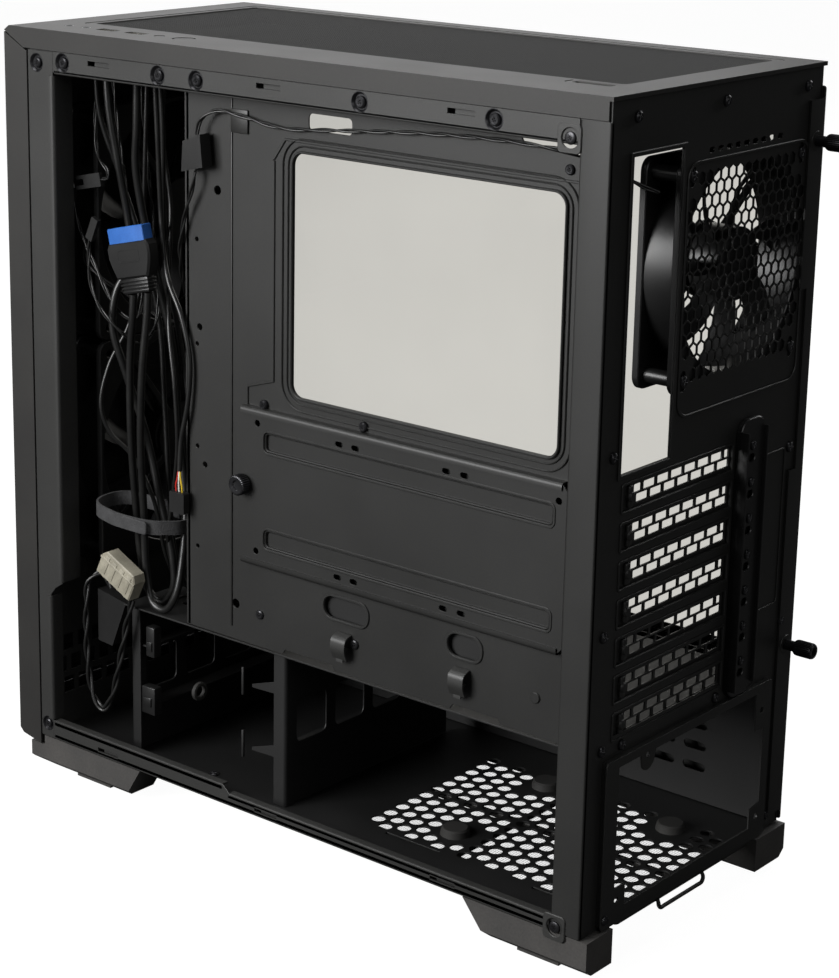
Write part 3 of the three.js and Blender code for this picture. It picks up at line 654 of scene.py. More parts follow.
def makeFloor():
    holes = []
    row = 0
    y = floor["ys"][0]
    while y < floor["ys"][1]:
        x = floor["xs"][0] + (row % 2) * floor["pitch"] / 2
        while x < floor["xs"][1]:
            if all(math.hypot(x - u, y - v) > 15 for u, v in floor["pads"]):
                holes.append(polygon(x, y, floor["hole"], 14))
            x += floor["pitch"]
        y += floor["pitch"] * hexRow
        row += 1
    holes += [rectangle(66, 68, 58, 96), rectangle(66, 68, 160, 192), polygon(86, 130, 1.6, 10)]
    sheet = plate(
        "z", floorZ, floorZ + 1, rectangle(farX + 0.5, nearX - 0.5, -190.5, rearY - 1.2), holes, 0.1,
    )
    slots = [rectangle(y, y + roof["hookLength"], 26.6, 29.4) for y in roof["hooks"]]
    line = [(-181, floorZ + 0.6), (194, floorZ + 0.6), (194, 31.5), (-33, 31.5), (-38, 36), (-181, 36)]
    # The floor sheet takes the very dark finish as painted shade; the rails beside it keep the plain coat.
    addPiece("floor-sheet", [sheet], "steelPaintedDeepShade")
    shapes = [plate("x", nearX - 1, nearX, line, slots), plate("x", farX, farX + 1, line, slots)]
    shapes += [
        folded("y", [(nearX - 6, floorZ), (nearX, floorZ), (nearX, floorZ + 3)], -180, 194),
        folded("y", [(nearX, 29), (nearX, 31.8), (nearX - 5, 31.8)], -34, 193),
        folded("y", [(nearX, 33), (nearX, 36.2), (nearX - 5, 36.2)], -180, -39),
    ]
    for slot in roof["hooks"]:
        shapes.append(plate("x", nearX - 3.2, nearX - 2.4, rectangle(slot + 3, slot + 19, 25, 30.5)))
    addPiece("floor-and-rails", shapes, "powderCoatedSteel", stands=["chassis_bottom"])
    heads = screws("z", ((74, -69), (40, -43), (-20, -60)), floorZ + 1, 3, 1.5)
    addPiece("floor-screws", heads, "blackenedScrew")
    pads = [
        turned("z", (x, y), [(0, 29.5), (7, 29.4), (8, 28.5), (8.6, 25), (0, 25)], 24)
        for x, y in floor["pads"]
    ]
    addPiece("supply-pads", pads, "padRubber")


makeFloor()

front = {"fanZs": (202, 342.6), "slots": 13}


def makeFront():
    openings = [polygon(0, z, 67, 48) for z in front["fanZs"]]
    holes = [
        polygon(x, z + dz, 2.3, 10)
        for z in front["fanZs"]
        for x in (-62.3, 62.3)
        for dz in (-62.3, 62.3)
    ]
    low = []
    for i in range(front["slots"]):
        for j in range(3):
            x = -72 + 12 * i + (j % 2) * 6
            low.append(rectangle(x, x + 8, 46 + j * 14, 56 + j * 14))
    wall = plate(
        "y", -192, -191, rectangle(farX + 0.5, nearX - 0.5, floorZ + 0.3, roofZ - 0.3),
        openings + holes + low,
    )
    line = [
        (-191.6, floorZ + 0.4), (-181, floorZ + 0.4), (-181, 118), (-177, 123), (-171, 127),
        (-171, roofZ - 0.4), (-191.6, roofZ - 0.4),
    ]
    shapes = [
        wall,
        plate(
            "x", nearX - 1, nearX, line, [polygon(-184.5, 439.5, 5.4, 20), polygon(-186, 33, 4.6, 20)],
        ),
    ]
    shapes += [
        plate("x", farX, farX + 1, line),
        folded("z", [(nearX - 14, -171), (nearX, -171), (nearX, -174)], 128, 433),
        folded("z", [(nearX - 8, -181), (nearX, -181), (nearX, -184)], 37, 117),
    ]
    addPiece("front-wall", shapes, "powderCoatedSteel", stands=["chassis_front"])
    heads = [
        dish("x", -184.5, 439.5, nearX - 0.05, 5.5, 1.4), *screw("x", -184.5, 439.5, nearX - 1.4, 3.2)
    ]
    heads += [dish("x", -186, 33, nearX - 0.05, 4.7, 1.2), *screw("x", -186, 33, nearX - 1.2, 2.8)]
    addPiece("front-wall-screws", heads, "blackenedScrew")


makeFront()

rear = {
    "ports": (35.5, 79.5, 269.8, 428.3),
    "fan": (-26.7, 360),
    "hex": 3.15,
    "hexPitch": 7.3,
    "slots": (-26, 76),
    "slotTop": 256.5,
    "slotPitch": 20.32,
    "raised": (-77, 84.5, 118.4),
    "out": 3.5,
}
slotZs = [rear["slotTop"] - rear["slotPitch"] * i for i in range(7)]
supplyRing = [
    (-70, 46), (-60, 44), (-60, 33), (63, 33), (63, 45), (73, 45), (73, 113), (53, 113), (52, 106),
    (49.6, 104),
]
supplyRing += [(46.8, 103.3), (44, 104), (41.5, 106), (39, 113), (-61, 113), (-61, 91), (-70, 91)]
supplyHoles = ((-67.2, 102), (46.8, 112), (-67.2, 38), (70.8, 38))


def hexHoles():
    holes = []
    x0, z0 = rear["fan"]
    pitch = rear["hexPitch"]
    for i in range(-9, 10):
        for j in range(-10, 11):
            x = x0 + i * pitch + (j % 2) * pitch / 2
            z = z0 + j * pitch * hexRow
            dx, dz = abs(x - x0), abs(z - z0)
            inside = dx < 55.5 and dz < 55.5 and (dx < 46 or dz < 44)
            if inside and math.hypot(dx, dz) < 68:
                holes.append(polygon(x, z, rear["hex"] * hexCorner, 6, math.pi / 6))
    return holes


def makeRear():
    holes = hexHoles()
    x0, x1, z0, z1 = rear["ports"]
    holes.append(rectangle(x0, x1, z0, z1))
    for z in slotZs:
        holes.append(rectangle(rear["slots"][0], rear["slots"][1], z - 6.75, z + 6.75))
    for dx in (-52.5, 52.5):
        for dz in (-52.5, 52.5):
            u, v = rear["fan"][0] + dx, rear["fan"][1] + dz
            holes.append(rounded(u - 2.3, u + 2.3, v - 5.5, v + 5.5, 2.2, 3))
    for i in range(9):
        x = 9 - 8.2 * i
        holes.append(rounded(x - 2.6, x + 2.6, 422.5, 425.3, 1.2, 3))
    low, high, top = rear["raised"]
    holes.append(rectangle(low + 1, high - 1, floorZ + 1.5, top - 1))
    outline = rectangle(farX, nearX - 0.8, floorZ + 0.2, capZ - 2.5)
    shapes = [plate("y", rearY - 1, rearY, outline, holes, 0.12)]
    near = [(nearX - 9, 195), (nearX, 195), (nearX, rearY), (nearX - 2.2, rearY)]
    shapes += [
        folded("z", near, floorZ + 0.4, roofZ - 0.4, 1.0, 1.6),
        folded("z", [(farX + 2, rearY), (farX, rearY), (farX, 202)], floorZ + 0.4, roofZ - 0.4, 1.0, 1.2),
    ]
    rearOut = rearY + rear["out"]
    shapes.append(
        plate(
            "y", rearOut - 1, rearOut, rounded(low, high, floorZ + 0.4, top, 3),
            [supplyRing, *[polygon(x, z, 1.8, 12) for x, z in supplyHoles]],
        )
    )
    rim = rounded(low + 0.3, high - 0.3, floorZ + 0.7, top - 0.3, 3)
    shapes.append(
        plate(
            "y", rearY - 0.8, rearOut - 0.5, rim,
            [rounded(low + 1.3, high - 1.3, floorZ + 1.7, top - 1.3, 2.2)],
        )
    )
    addPiece("rear-wall", shapes, "steelPaintedShade", stands=["rear_panel"])


def makeRearTrim():
    ridges = []
    x0, x1, z0, z1 = rear["ports"]
    ridges += [
        plate(
            "y", rearY - 0.1, rearY + 0.9, rounded(-87, 31, 288, 420, 9),
            [rounded(-85.4, 29.4, 289.6, 418.4, 8)], 0.35,
        ),
        plate(
            "y", rearY - 0.1, rearY + 1.1, rectangle(x0 - 2.6, x1 + 2.4, z0 - 2.4, z1 + 2.4),
            [rectangle(x0, x1, z0, z1)], 0.4,
        ),
        plate(
            "y", rearY - 0.1, rearY + 0.7, rounded(-81, -56, 161, 251, 3),
            [rounded(-80, -57, 162, 250, 2.4)], 0.25,
        ),
    ]
    for z in slotZs:
        ridges.append(
            plate(
                "y", rearY - 0.1, rearY + 0.6, rounded(-27.5, 77.5, z - 8.3, z + 8.3, 2),
                [rectangle(-26, 76, z - 6.75, z + 6.75)], 0.25,
            )
        )
    ridges.append(block(-24, 77, rearY - 0.2, rearY + 0.9, 128.3, 130.3, 0.3))
    addPiece("rear-wall-pressings", ridges, "steelPaintedShade")
    spots = ((86, 280), (88, 187), (85.6, 124.6), (67.5, 123), (-22, 122), (-85, 250), (-87, 149))
    heads = screws("y", spots, rearY, 3.1, 1.7)
    heads += screws("y", ((77, 447.5), (-2, 447.5), (-82, 447.5)), rearY, 3.1, 1.7)
    heads += screws("y", ((81, 30),), rearY + rear["out"], 2.7, 1.4)
    heads += screws("y", ((-84, 32), (-90, 46)), rearY, 2.7, 1.4)
    heads += screws("y", ((-79.2, 412.5), (25.8, 307.5), (-79.2, 307.5), (25.8, 412.5)), rearY, 3.3, 1.5)
    addPiece("rear-wall-screws", heads, "blackenedScrew")


makeRear()
makeRearTrim()
print("chassis walls made")


# Slot covers and the bar over their ends.
cover = {"xs": (-40, 79), "bricks": (-24.5, 63), "brick": (10.6, 4.3), "pitch": 12.6, "rowGap": 5.4}


def makeSlotCovers():
    for i, z in enumerate(slotZs):
        holes = []
        for row in (0, 1):
            middle = z + (row - 0.5) * cover["rowGap"]
            x = cover["bricks"][0] + (cover["pitch"] / 2 if row else 0)
            if row:
                holes.append(
                    rectangle(cover["bricks"][0], cover["bricks"][0] + 4, middle - 2.15, middle + 2.15)
                )
            while x < cover["bricks"][1] - 3:
                end = min(x + cover["brick"][0], cover["bricks"][1] + 1)
                holes.append(rounded(x, end, middle - 2.15, middle + 2.15, 0.5, 2))
                x += cover["pitch"]
        face = rearY - 1.3
        shapes = [plate("y", face - 1, face, rounded(*cover["xs"], z - 9.2, z + 9.2, 1), holes, 0.12)]
        shapes += [
            turned(
                "y", (68.8, z),
                [(0, face + 3.2), (2.2, face + 3), (2.9, face + 2), (3, face - 0.4), (0, face - 0.4)],
                20,
            ),
            block(66.6, 71, face - 0.4, face + 2.2, z - 6, z + 6, 1.4, 3),
        ]
        name = "slot_cover_%d" % (i + 1)
        addPiece("slot-cover-%d" % (i + 1), shapes, "steelPaintedShade", stands=[name])


makeSlotCovers()

bar = {"xs": (-53, -29), "zs": (118.8, 276), "front": rearY + 0.3, "back": rearY + 3.5}


def makeSlotBar():
    x0, x1 = bar["xs"]
    z0, z1 = bar["zs"]
    shapes = [
        plate(
            "y", bar["back"] - 1.2, bar["back"], rounded(x0, x1, z0, z1, 8, 8),
            [
                rounded(-44, -38, 130 + rear["slotPitch"] * i, 134 + rear["slotPitch"] * i, 1.9, 3)
                for i in range(7)
            ],
            0.5,
        )
    ]
    shapes += [
        plate(
            "y", bar["front"], bar["back"] - 0.6,
            rounded(x0 + 0.3, x1 - 0.3, z0 + 0.3, z1 - 0.3, 7.7, 8),
            [rounded(x0 + 1.6, x1 - 1.6, z0 + 1.6, z1 - 1.6, 6.5, 8)],
        ),
        block(-30.4, -29, bar["front"], bar["back"] + 4.5, 124, 270, 0.5),
        block(-53, -51.6, bar["front"], bar["back"] + 2.4, 124, 270, 0.5),
    ]
    addPiece("slot-bar", shapes, "blackNylon", stands=["slot_bar"])
    dots = screws("y", [(-41, z + 4.1) for z in slotZs], bar["back"], 2.7, 1.3)
    addPiece("slot-bar-screws", dots, "blackenedScrew")


makeSlotBar()


# Board tray, disk plate, cage.

tray = {
    "front": -81, "low": 120.5, "window": (0.5, 178.5, 272.6, 407),
    "cableHoles": ((25, 56), (112, 134)), "cableZs": (151.5, 164),
}


def makeTray():
    y0, y1, z0, z1 = tray["window"]
    top = roofZ - 1.4
    holes = [rounded(y0, y1, z0, z1, 7, 8), rounded(10.5, 40.5, 420, 429, 2.5)]
    holes.append([(152, 428.5), (190, 425), (190, 431.5), (150, 431.5)])
    holes += [rounded(*ys, *tray["cableZs"], 6, 6) for ys in tray["cableHoles"]]
    for y, z, r in ((-56, 379.5, 2.6), (-42, 142, 2.8), (-70, 300, 2.0), (-66, 220, 1.8)):
        holes.append(polygon(y, z, r, 16))
    holes += [polygon(-72, 170 + 60 * i, 1.4, 10) for i in range(4)]
    front, foot = tray["front"], tray["low"]
    outline = [
        (front, foot), (-6, foot), (-4, foot + 3), (31, foot + 3), (33, foot), (114, foot),
        (116, foot + 3), (146, foot + 3), (148, foot),
    ]
    outline += [(rearY - 1.4, foot), (rearY - 1.4, top), (front, top)]
    shapes = [plate("x", trayX - 1, trayX, outline, holes, 0.15)]
    shapes.append(
        folded(
            "z", [(trayX - 12, front), (trayX, front), (trayX, front + 3)], foot + 0.5, top - 0.5, 1.0,
            1.4,
        )
    )
    # Rolled rim round the processor window, and the raised field beside it.
    rim = [(8.2, 1.0, 8.6, 0.9), (4.4, 0.9, 5.0, 0.9)]
    for out, high, r, wide in rim:
        ring = rounded(y0 - out, y1 + out, z0 - out, z1 + out, r + 7, 8)
        inner = rounded(
            y0 - out + wide, y1 + out - wide, z0 - out + wide, z1 + out - wide, r + 7 - wide, 8,
        )
        shapes.append(plate("x", trayX - 0.2, trayX + high, ring, [inner], 0.4))
    shapes += [
        plate(
            "x", trayX - 0.2, trayX + 1.6, rounded(y0 - 1.4, y1 + 1.4, z0 - 1.4, z1 + 1.4, 8, 8),
            [rounded(y0, y1, z0, z1, 7, 8)], 0.5,
        ),
        block(trayX - 0.3, trayX + 0.8, -45.6, -44.4, 128, 438, 0.5),
        block(trayX - 0.3, trayX + 1.3, -45, -32.5, 413, 426, 0.5),
    ]
    raised = [
        (-13, 401), (-14.6, 401), (-14.6, 279), (-33.6, 273), (-33.6, 261), (-32.2, 261), (-32.2, 272),
        (-13, 278),
    ]
    shapes += [
        plate("x", trayX - 0.2, trayX + 0.8, raised, (), 0.3),
        plate(
            "x", trayX - 0.2, trayX + 0.8,
            [
                (-14.6, 400.8), (-14.6, 402.4), (-6, 414), (188, 414), (188, 412.6), (-5.4, 412.6),
                (-13, 401.8),
            ],
            (), 0.3,
        ),
        plate("x", trayX - 0.2, trayX + 0.9, rounded(167, 173, 139, 145, 2.9, 6), (), 0.4),
    ]
    low, high = tray["cableZs"]
    for start, end in tray["cableHoles"]:
        ring = rounded(start - 1.6, end + 1.6, low - 1.6, high + 1.6, 7, 6)
        shapes.append(
            plate("x", trayX - 0.2, trayX + 0.9, ring, [rounded(start, end, low, high, 6, 6)], 0.35)
        )
    addPiece("board-tray", shapes, "traySteelPaintedShade", stands=["board_tray"])
    # The knocked-out cards behind the two lower holes.
    lids = [
        plate("x", trayX - 3.4, trayX - 2.6, rounded(22, 60, 148, 167, 5, 5)),
        plate("x", trayX - 3.4, trayX - 2.6, rounded(109, 138, 148, 167, 5, 5)),
    ]
    addPiece("tray-knock-outs", lids, "steelPaintedDeepShade")
    hooks = []
    for y, z in ((40.2, 137), (122.3, 138)):
        line = [(trayX + 0.4, z + 7), (trayX + 5.5, z + 5.5), (trayX + 6, z - 1), (trayX + 3.6, z - 6)]
        hooks += [
            folded("y", line, y - 5, y + 5, 0.9, 2.2),
            folded(
                "y", [(trayX + 0.2, z - 1), (trayX + 3.4, z - 3), (trayX + 3.8, z - 8)], y - 2.4,
                y + 2.4, 0.9, 1.5,
            ),
        ]
    addPiece("tray-tie-hooks", hooks, "powderCoatedSteel")
    heads = screws("x", ((47.5, 140), (-23, 140), (180, 419)), trayX, 2.8, 1.5)
    addPiece("tray-screws", heads, "blackenedScrew")


makeTray()

disk = {"ys": (-37, 188), "zs": (171, 261), "x": 88, "screwZ": 217}


def makeDiskPlate():
    y0, y1 = disk["ys"]
    z0, z1 = disk["zs"]
    x = disk["x"]
    channels = ((238, 249.5), (182, 193))
    walls = [rounded(-17, 180, low, high, 3, 5) for low, high in channels]
    holes = list(walls)
    for z in (253, 177.4):
        for y in (37.5, 49, 111, 123):
            holes.append(rounded(y - 2.6, y + 2.6, z - 1.5, z + 1.5, 1.4, 4))
    holes += [
        polygon(y, z, 1.9, 12)
        for y, z in ((-22, 253.6), (-23, 179), (183, 252), (y0 + 5, disk["screwZ"]))
    ]
    line = [
        (y0, z0 + 3), (y0 + 3, z0), (y1 - 3, z0), (y1, z0 + 3), (y1, z1 - 3), (y1 - 3, z1),
        (y0 + 3, z1), (y0, z1 - 3),
    ]
    shapes = [plate("x", x - 1, x, line, holes, 0.2)]
    shapes += [
        folded("y", [(trayX + 0.3, z1), (x, z1), (x, z1 - 3)], y0 + 3, y1 - 3, 1.0, 1.3),
        folded("y", [(x, z0 + 3), (x, z0), (trayX + 0.3, z0)], y0 + 3, y1 - 3, 1.0, 1.3),
    ]
    # Long pressed channels: a rounded wall down to a sunk floor.
    for (low, high), wall in zip(channels, walls):
        shapes += [
            plate("x", x - 2.6, x - 0.2, wall, [rounded(-15.9, 178.9, low + 1.1, high - 1.1, 2, 5)], 0.5),
            plate("x", x - 2.9, x - 2.1, rounded(-16.6, 179.6, low + 0.4, high - 0.4, 2.6, 5)),
            plate("x", x - 0.2, x + 0.5, rounded(-18.4, 181.4, low - 1.4, high + 1.4, 4, 5), [wall], 0.3),
        ]
    addPiece("disk-plate", shapes, "traySteelPaintedShade", "disk_plate", ["disk_plate"])
    heads = screw("x", -20, 264, trayX + 0.2, 2.9, 2.2) + screw("x", 52, 265, trayX + 0.2, 2.9, 2.2)
    addPiece("disk-plate-hooks", heads, "blackenedScrew")


makeDiskPlate()


# Knurled head on a neck: the ribs are cut into the rim.
def thumbscrew(axis, centre, at, neck, head, long, ribs):
    profile = [
        (0, 0.2), (neck * 0.66, 0.2), (neck * 0.66, 1.2), (neck, 1.8), (neck, long * 0.38),
        (head * 0.8, long * 0.42),
    ]
    shapes = [turned(axis, centre, [(r, at + a) for r, a in profile] + [(0, at + long * 0.42)], 24)]
    made = bmesh.new()
    count = ribs * 2
    levels = ((0.4, 0.84), (0.45, 0.97), (0.5, 1.0), (0.92, 1.0), (0.97, 0.94), (1.0, 0.82))
    rings = []
    for share, wide in levels:
        ring = []
        for i in range(count):
            r = head * wide * (1.0 if i % 2 else 0.93)
            angle = 2 * math.pi * i / count
            ring.append(made.verts.new((r * math.cos(angle), r * math.sin(angle), at + long * share)))
        rings.append(ring)
    for low, high in zip(rings, rings[1:]):
        for i in range(count):
            made.faces.new((low[i], low[(i + 1) % count], high[(i + 1) % count], high[i]))
    made.faces.new(rings[0])
    inner = [made.verts.new((v.co.x * 0.62, v.co.y * 0.62, at + long * 0.99)) for v in rings[-1]]
    for i in range(count):
        made.faces.new((rings[-1][i], rings[-1][(i + 1) % count], inner[(i + 1) % count], inner[i]))
    low = [made.verts.new((v.co.x * 0.8, v.co.y * 0.8, at + long * 0.9)) for v in inner]
    for i in range(count):
        made.faces.new((inner[i], inner[(i + 1) % count], low[(i + 1) % count], low[i]))
    made.faces.new(low)
    u, v = centre
    for vert in made.verts:
        a, b, c = vert.co
        vert.co = {"x": (c, u + a, v + b), "y": (u + a, c, v + b)}[axis]
    return [*shapes, made]


# Screws turned by hand: sizes in millimetres, and the ribs on each head.
handScrews = {"x": -92, "zs": (417.5, 133.6), "neck": 3, "coverHead": 4.6, "diskHead": 6, "ribs": (28, 30)}


def makeThumbscrews():
    neck = handScrews["neck"]
    for i, z in enumerate(handScrews["zs"]):
        name = "cover_thumbscrew_%d" % (i + 1)
        start, end = span(name, "y")
        shapes = thumbscrew(
            "y", (handScrews["x"], z), start, neck, handScrews["coverHead"], end - start,
            handScrews["ribs"][0],
        )
        addPiece(
            "cover-thumbscrew-%d" % (i + 1), shapes, "blackenedScrew", "cover_screw_%d" % (i + 1),
            [name],
        )
    start, end = span("disk_plate_thumbscrew", "x")
    shapes = thumbscrew(
        "x", (disk["ys"][0] + 5, disk["screwZ"]), start, neck, handScrews["diskHead"], end - start,
        handScrews["ribs"][1],
    )
    addPiece(
        "disk-plate-thumbscrew", shapes, "blackenedScrew", "disk_plate_screw",
        ["disk_plate_thumbscrew"],
    )


makeThumbscrews()

cage = {"ys": (-130, -7), "xs": (-70, 80), "top": 118.2, "ledges": (56, 95)}


def makeCage():
    y0, y1 = cage["ys"]
    x0, x1 = cage["xs"]
    low = floorZ + 1.3
    top = cage["top"]
    windows = [rounded(x0 + 12 + 34 * i, x0 + 38 + 34 * i, 62, 88, 4) for i in range(4)]
    shapes = [
        plate("y", y0, y0 + 1, rectangle(x0, x1 - 1, low, top), windows),
        plate("y", y1 - 1, y1, rectangle(x0, x1 - 1, low, top), windows),
    ]
    shapes += [
        plate("z", top - 1, top, rectangle(x0, x1, y0, y1), [rounded(-50, 60, -112, -25, 6)]),
        folded("z", [(x1, y0 + 7), (x1, y0), (x1 - 6, y0)], low, top, 1.0, 1.4),
        folded("z", [(x1 - 6, y1), (x1, y1), (x1, y1 - 8)], low, top, 1.0, 1.4),
    ]
    for z in cage["ledges"]:
        shapes += [
            folded("x", [(y0 + 12, z), (y0 + 0.6, z), (y0 + 0.6, z + 6)], x0 + 2, x1 - 1, 1.0, 1.2),
            folded("x", [(y1 - 12, z), (y1 - 0.6, z), (y1 - 0.6, z + 6)], x0 + 2, x1 - 1, 1.0, 1.2),
            plate(
                "x", x1 - 1, x1,
                [(y1 - 26, z - 1), (y1 - 8, z + 5), (y1, z + 5), (y1, z - 2), (y1 - 26, z - 3)],
            ),
            block(x1 - 2, x1 - 0.6, -42, -40.4, z - 10, z + 7, 0.3),
        ]
    addPiece("disk-cage", shapes, "steelPaintedDeepShade", stands=["disk_cage"])
    latches = [
        block(x1 - 6, x1 + 0.4, -119, -112, 89, 108, 0.8),
        block(x1 - 6, x1 + 0.4, -123, -112, 52, 69.5, 0.8),
    ]
    latches += [
        block(x1 - 4, x1 + 1.4, -118, -113.5, 93, 99, 0.6),
        block(x1 - 4, x1 + 1.4, -121, -114.5, 57, 63, 0.6),
    ]
    addPiece("cage-latches", latches, "blackNylon")
    ring = [(4.6, 0), (5.6, 0.4), (5.6, 2.6), (4.6, 3), (3.4, 2.6), (3.4, 0.4), (4.6, 0)]
    addPiece(
        "cage-grommet", [turned("y", (x1 - 12, 71.5), [(r, -88 + a) for r, a in ring], 24)],
        "padRubber",
    )
    shroud = [
        plate(
            "z", 118.5, 119.5, rectangle(-88, trayX - 0.3, y0 - 4, rearY - 1.4),
            [rounded(-60, 60, -118, -60, 8)], 0.2,
        )
    ]
    shroud.append(folded("y", [(-80, 119.5), (-88, 119.5), (-88, 116)], y0 - 3.6, rearY - 1.6, 1.0, 1.8))
    vents = []
    for i in range(14):
        for j in range(5):
            vents.append(rounded(y0 + 12 + 21 * i, y0 + 27 + 21 * i, 44 + 13 * j, 49 + 13 * j, 2.4, 4))
    shroud.append(plate("x", -88, -87, rectangle(y0 - 4, rearY - 1.4, floorZ + 1.4, 117.5), vents))
    addPiece("supply-shroud", shroud, "steelPaintedDeepShade", stands=["supply_shroud"])


makeCage()
print("tray, plate and cage made")

# Fans.
# Blades in radians and in shares of the rotor's depth; struts and hub in millimetres.
fanLook = {
    "blades": 7, "wide": 0.3, "sweep": 0.34, "front": 0.7, "rake": 0.42, "hub": 19.5, "strutTurn": 8,
}


def makeFan(frameNode, rotorNode, rotorBody, x, z, size, struts):
    y0, y1 = span(frameNode, "y")
    half = size / 2
    throat = half - 2.5
    pitch = 52.5 if size == 120 else 62.3
    corners = [polygon(x + dx * pitch, z + dz * pitch, 2.2, 12) for dx in (-1, 1) for dz in (-1, 1)]
    shapes = []
    for a, b in ((y0, y0 + 4), (y1 - 4, y1)):
        shapes.append(
            plate(
                "y", a, b, rounded(x - half, x + half, z - half, z + half, 7, 6),
                [polygon(x, z, throat + 0.1, 64), *corners], 0.5,
            )
        )
    barrel = [
        (throat + 1.6, y0 + 3), (throat + 1.4, y0 + 8), (throat + 1.4, y1 - 8), (throat + 1.6, y1 - 3),
    ]
    barrel += [(throat, y1 - 3), (throat - 0.2, (y0 + y1) / 2), (throat, y0 + 3), (throat + 1.6, y0 + 3)]
    shapes.append(turned("y", (x, z), barrel, 64))
    for dx in (-1, 1):
        for dz in (-1, 1):
            shapes.append(
                turned(
                    "y", (x + dx * pitch, z + dz * pitch),
                    [(2.3, y0 + 3), (4, y0 + 3), (4, y1 - 3), (2.3, y1 - 3), (2.3, y0 + 3)], 14,
                )
            )
    face = (y0, y0 + 3) if struts == "low" else (y1 - 3, y1)
    shapes.append(
        turned(
            "y", (x, z),
            [(0, face[0]), (19.6, face[0]), (20.2, face[0] + 0.6), (20.2, face[1]), (0, face[1])], 40,
        )
    )
    for i in range(4):
        angle = math.radians(45 + 90 * i + fanLook["strutTurn"])
        a = Vector((math.cos(angle), math.sin(angle)))
        b = Vector((-a.y, a.x))
        ring = [a * 19 + b * 2.4, a * (throat + 1) + b * 1.6, a * (throat + 1) - b * 1.6, a * 19 - b * 2.4]
        shapes.append(plate("y", face[0], face[1], [(x + p.x, z + p.y) for p in ring], (), 0.5))
    addPiece(frameNode.replace("_", "-"), shapes, "blackNylon", stands=[frameNode])
    y0, y1 = span(rotorNode, "y")
    reach = half - 4.6
    wide = fanLook["hub"]
    hub = [(0, y0), (wide - 1.7, y0), (wide - 0.1, y0 + 1.2), (wide, y0 + 2), (wide, y1 - 2)]
    hub += [(wide - 0.1, y1 - 1), (wide - 1.5, y1), (0, y1)]
    shapes = [turned("y", (x, z), hub, 48)]
    for i in range(fanLook["blades"]):
        shapes.append(fanBlade(x, z, y0 + 0.6, y1 - 0.6, 18.5, reach, 2 * math.pi * i / fanLook["blades"]))
    addPiece(rotorNode.replace("_", "-"), shapes, "blackNylon", rotorBody, [rotorNode], 50)


# A blade swept forward, wide at the tip, thin at its edges.
def fanBlade(x, z, y0, y1, inner, outer, turn):
    made = bmesh.new()
    rows, columns = 7, 8
    grid = [[], []]
    for side in (0, 1):
        for i in range(rows):
            share = i / (rows - 1)
            radius = inner + (outer - inner) * share
            sweep = fanLook["sweep"] * share**1.5
            line = []
            for j in range(columns):
                t = j / (columns - 1)
                angle = turn + sweep + fanLook["wide"] * (t - 0.5)
                deep = y0 + (y1 - y0) * (
                    fanLook["front"] - fanLook["rake"] * (t + 0.08 * math.sin(math.pi * t))
                )
                thick = 0.25 + 0.75 * math.sin(math.pi * t)
                deep += (1 if side else -1) * thick
                line.append(
                    made.verts.new(
                        (
                            x + radius * math.cos(angle), min(max(deep, y0), y1),
                            z + radius * math.sin(angle),
                        )
                    )
                )
            grid[side].append(line)
    for side in (0, 1):
        for i in range(rows - 1):
            for j in range(columns - 1):
                made.faces.new(
                    (
                        grid[side][i][j], grid[side][i + 1][j], grid[side][i + 1][j + 1],
                        grid[side][i][j + 1],
                    )
                )
    for i in range(rows - 1):
        for j in (0, columns - 1):
            made.faces.new((grid[0][i][j], grid[0][i + 1][j], grid[1][i + 1][j], grid[1][i][j]))
    for i in (0, rows - 1):
        for j in range(columns - 1):
            made.faces.new((grid[0][i][j], grid[0][i][j + 1], grid[1][i][j + 1], grid[1][i][j]))
    return made


makeFan("rear_fan_frame", "rear_fan_rotor", "rear_fan_rotor", *rear["fan"], 120, "low")
for number, height in enumerate(front["fanZs"]):
    word = str(number + 1)
    makeFan(
        "front_fan_frame_" + word, "front_fan_rotor_" + word, "front_fan_rotor_" + word, 0, height, 140,
        "high",
    )
print("fans made")

# Cap, front, filters and feet.
cap = {"filter": (-88, 61, -186, 196), "tab": (53, 70, 163, 194), "marginX": 75}


def makeCap():
    x0, x1, y0, y1 = cap["filter"]
    keepNode("top_cap", "mouldedShell", 0.7, 3)
    base, top = span("top_filter", "z")
    ring = rounded(x0 + 0.3, x1 - 0.3, y0 + 0.3, y1 - 0.3, 3)
    inner = rounded(x0 + 5, x1 - 5, y0 + 5, y1 - 5, 3)
    shapes = [plate("z", base, top, ring, [inner], 0.4)]
    tabX0, tabX1, tabY0, tabY1 = cap["tab"]
    shapes.append(
        plate(
            "z", base, top, rounded(tabX0 + 6, tabX1 - 0.3, tabY0 + 0.3, tabY1 - 0.3, 3),
            [rounded(x1 + 1.4, tabX1 - 2.4, tabY0 + 4, tabY1 - 4, 1.4)], 0.4,
        )
    )
    for y in (-92, 0, 92):
        shapes.append(block(x0 + 4, x1 - 4, y - 1, y + 1, base, base + 1.2, 0.3))
    addPiece("top-filter-frame", shapes, "mouldedShell", "top_filter", ["top_filter"])
    sheet = plate(
        "z", base + 1.2, base + 1.7, rounded(x0 + 4.6, x1 - 4.6, y0 + 4.6, y1 - 4.6, 3), (), 0.05,
    )
    addPiece("top-filter-mesh", [sheet], "filterMesh", "top_filter")


makeCap()


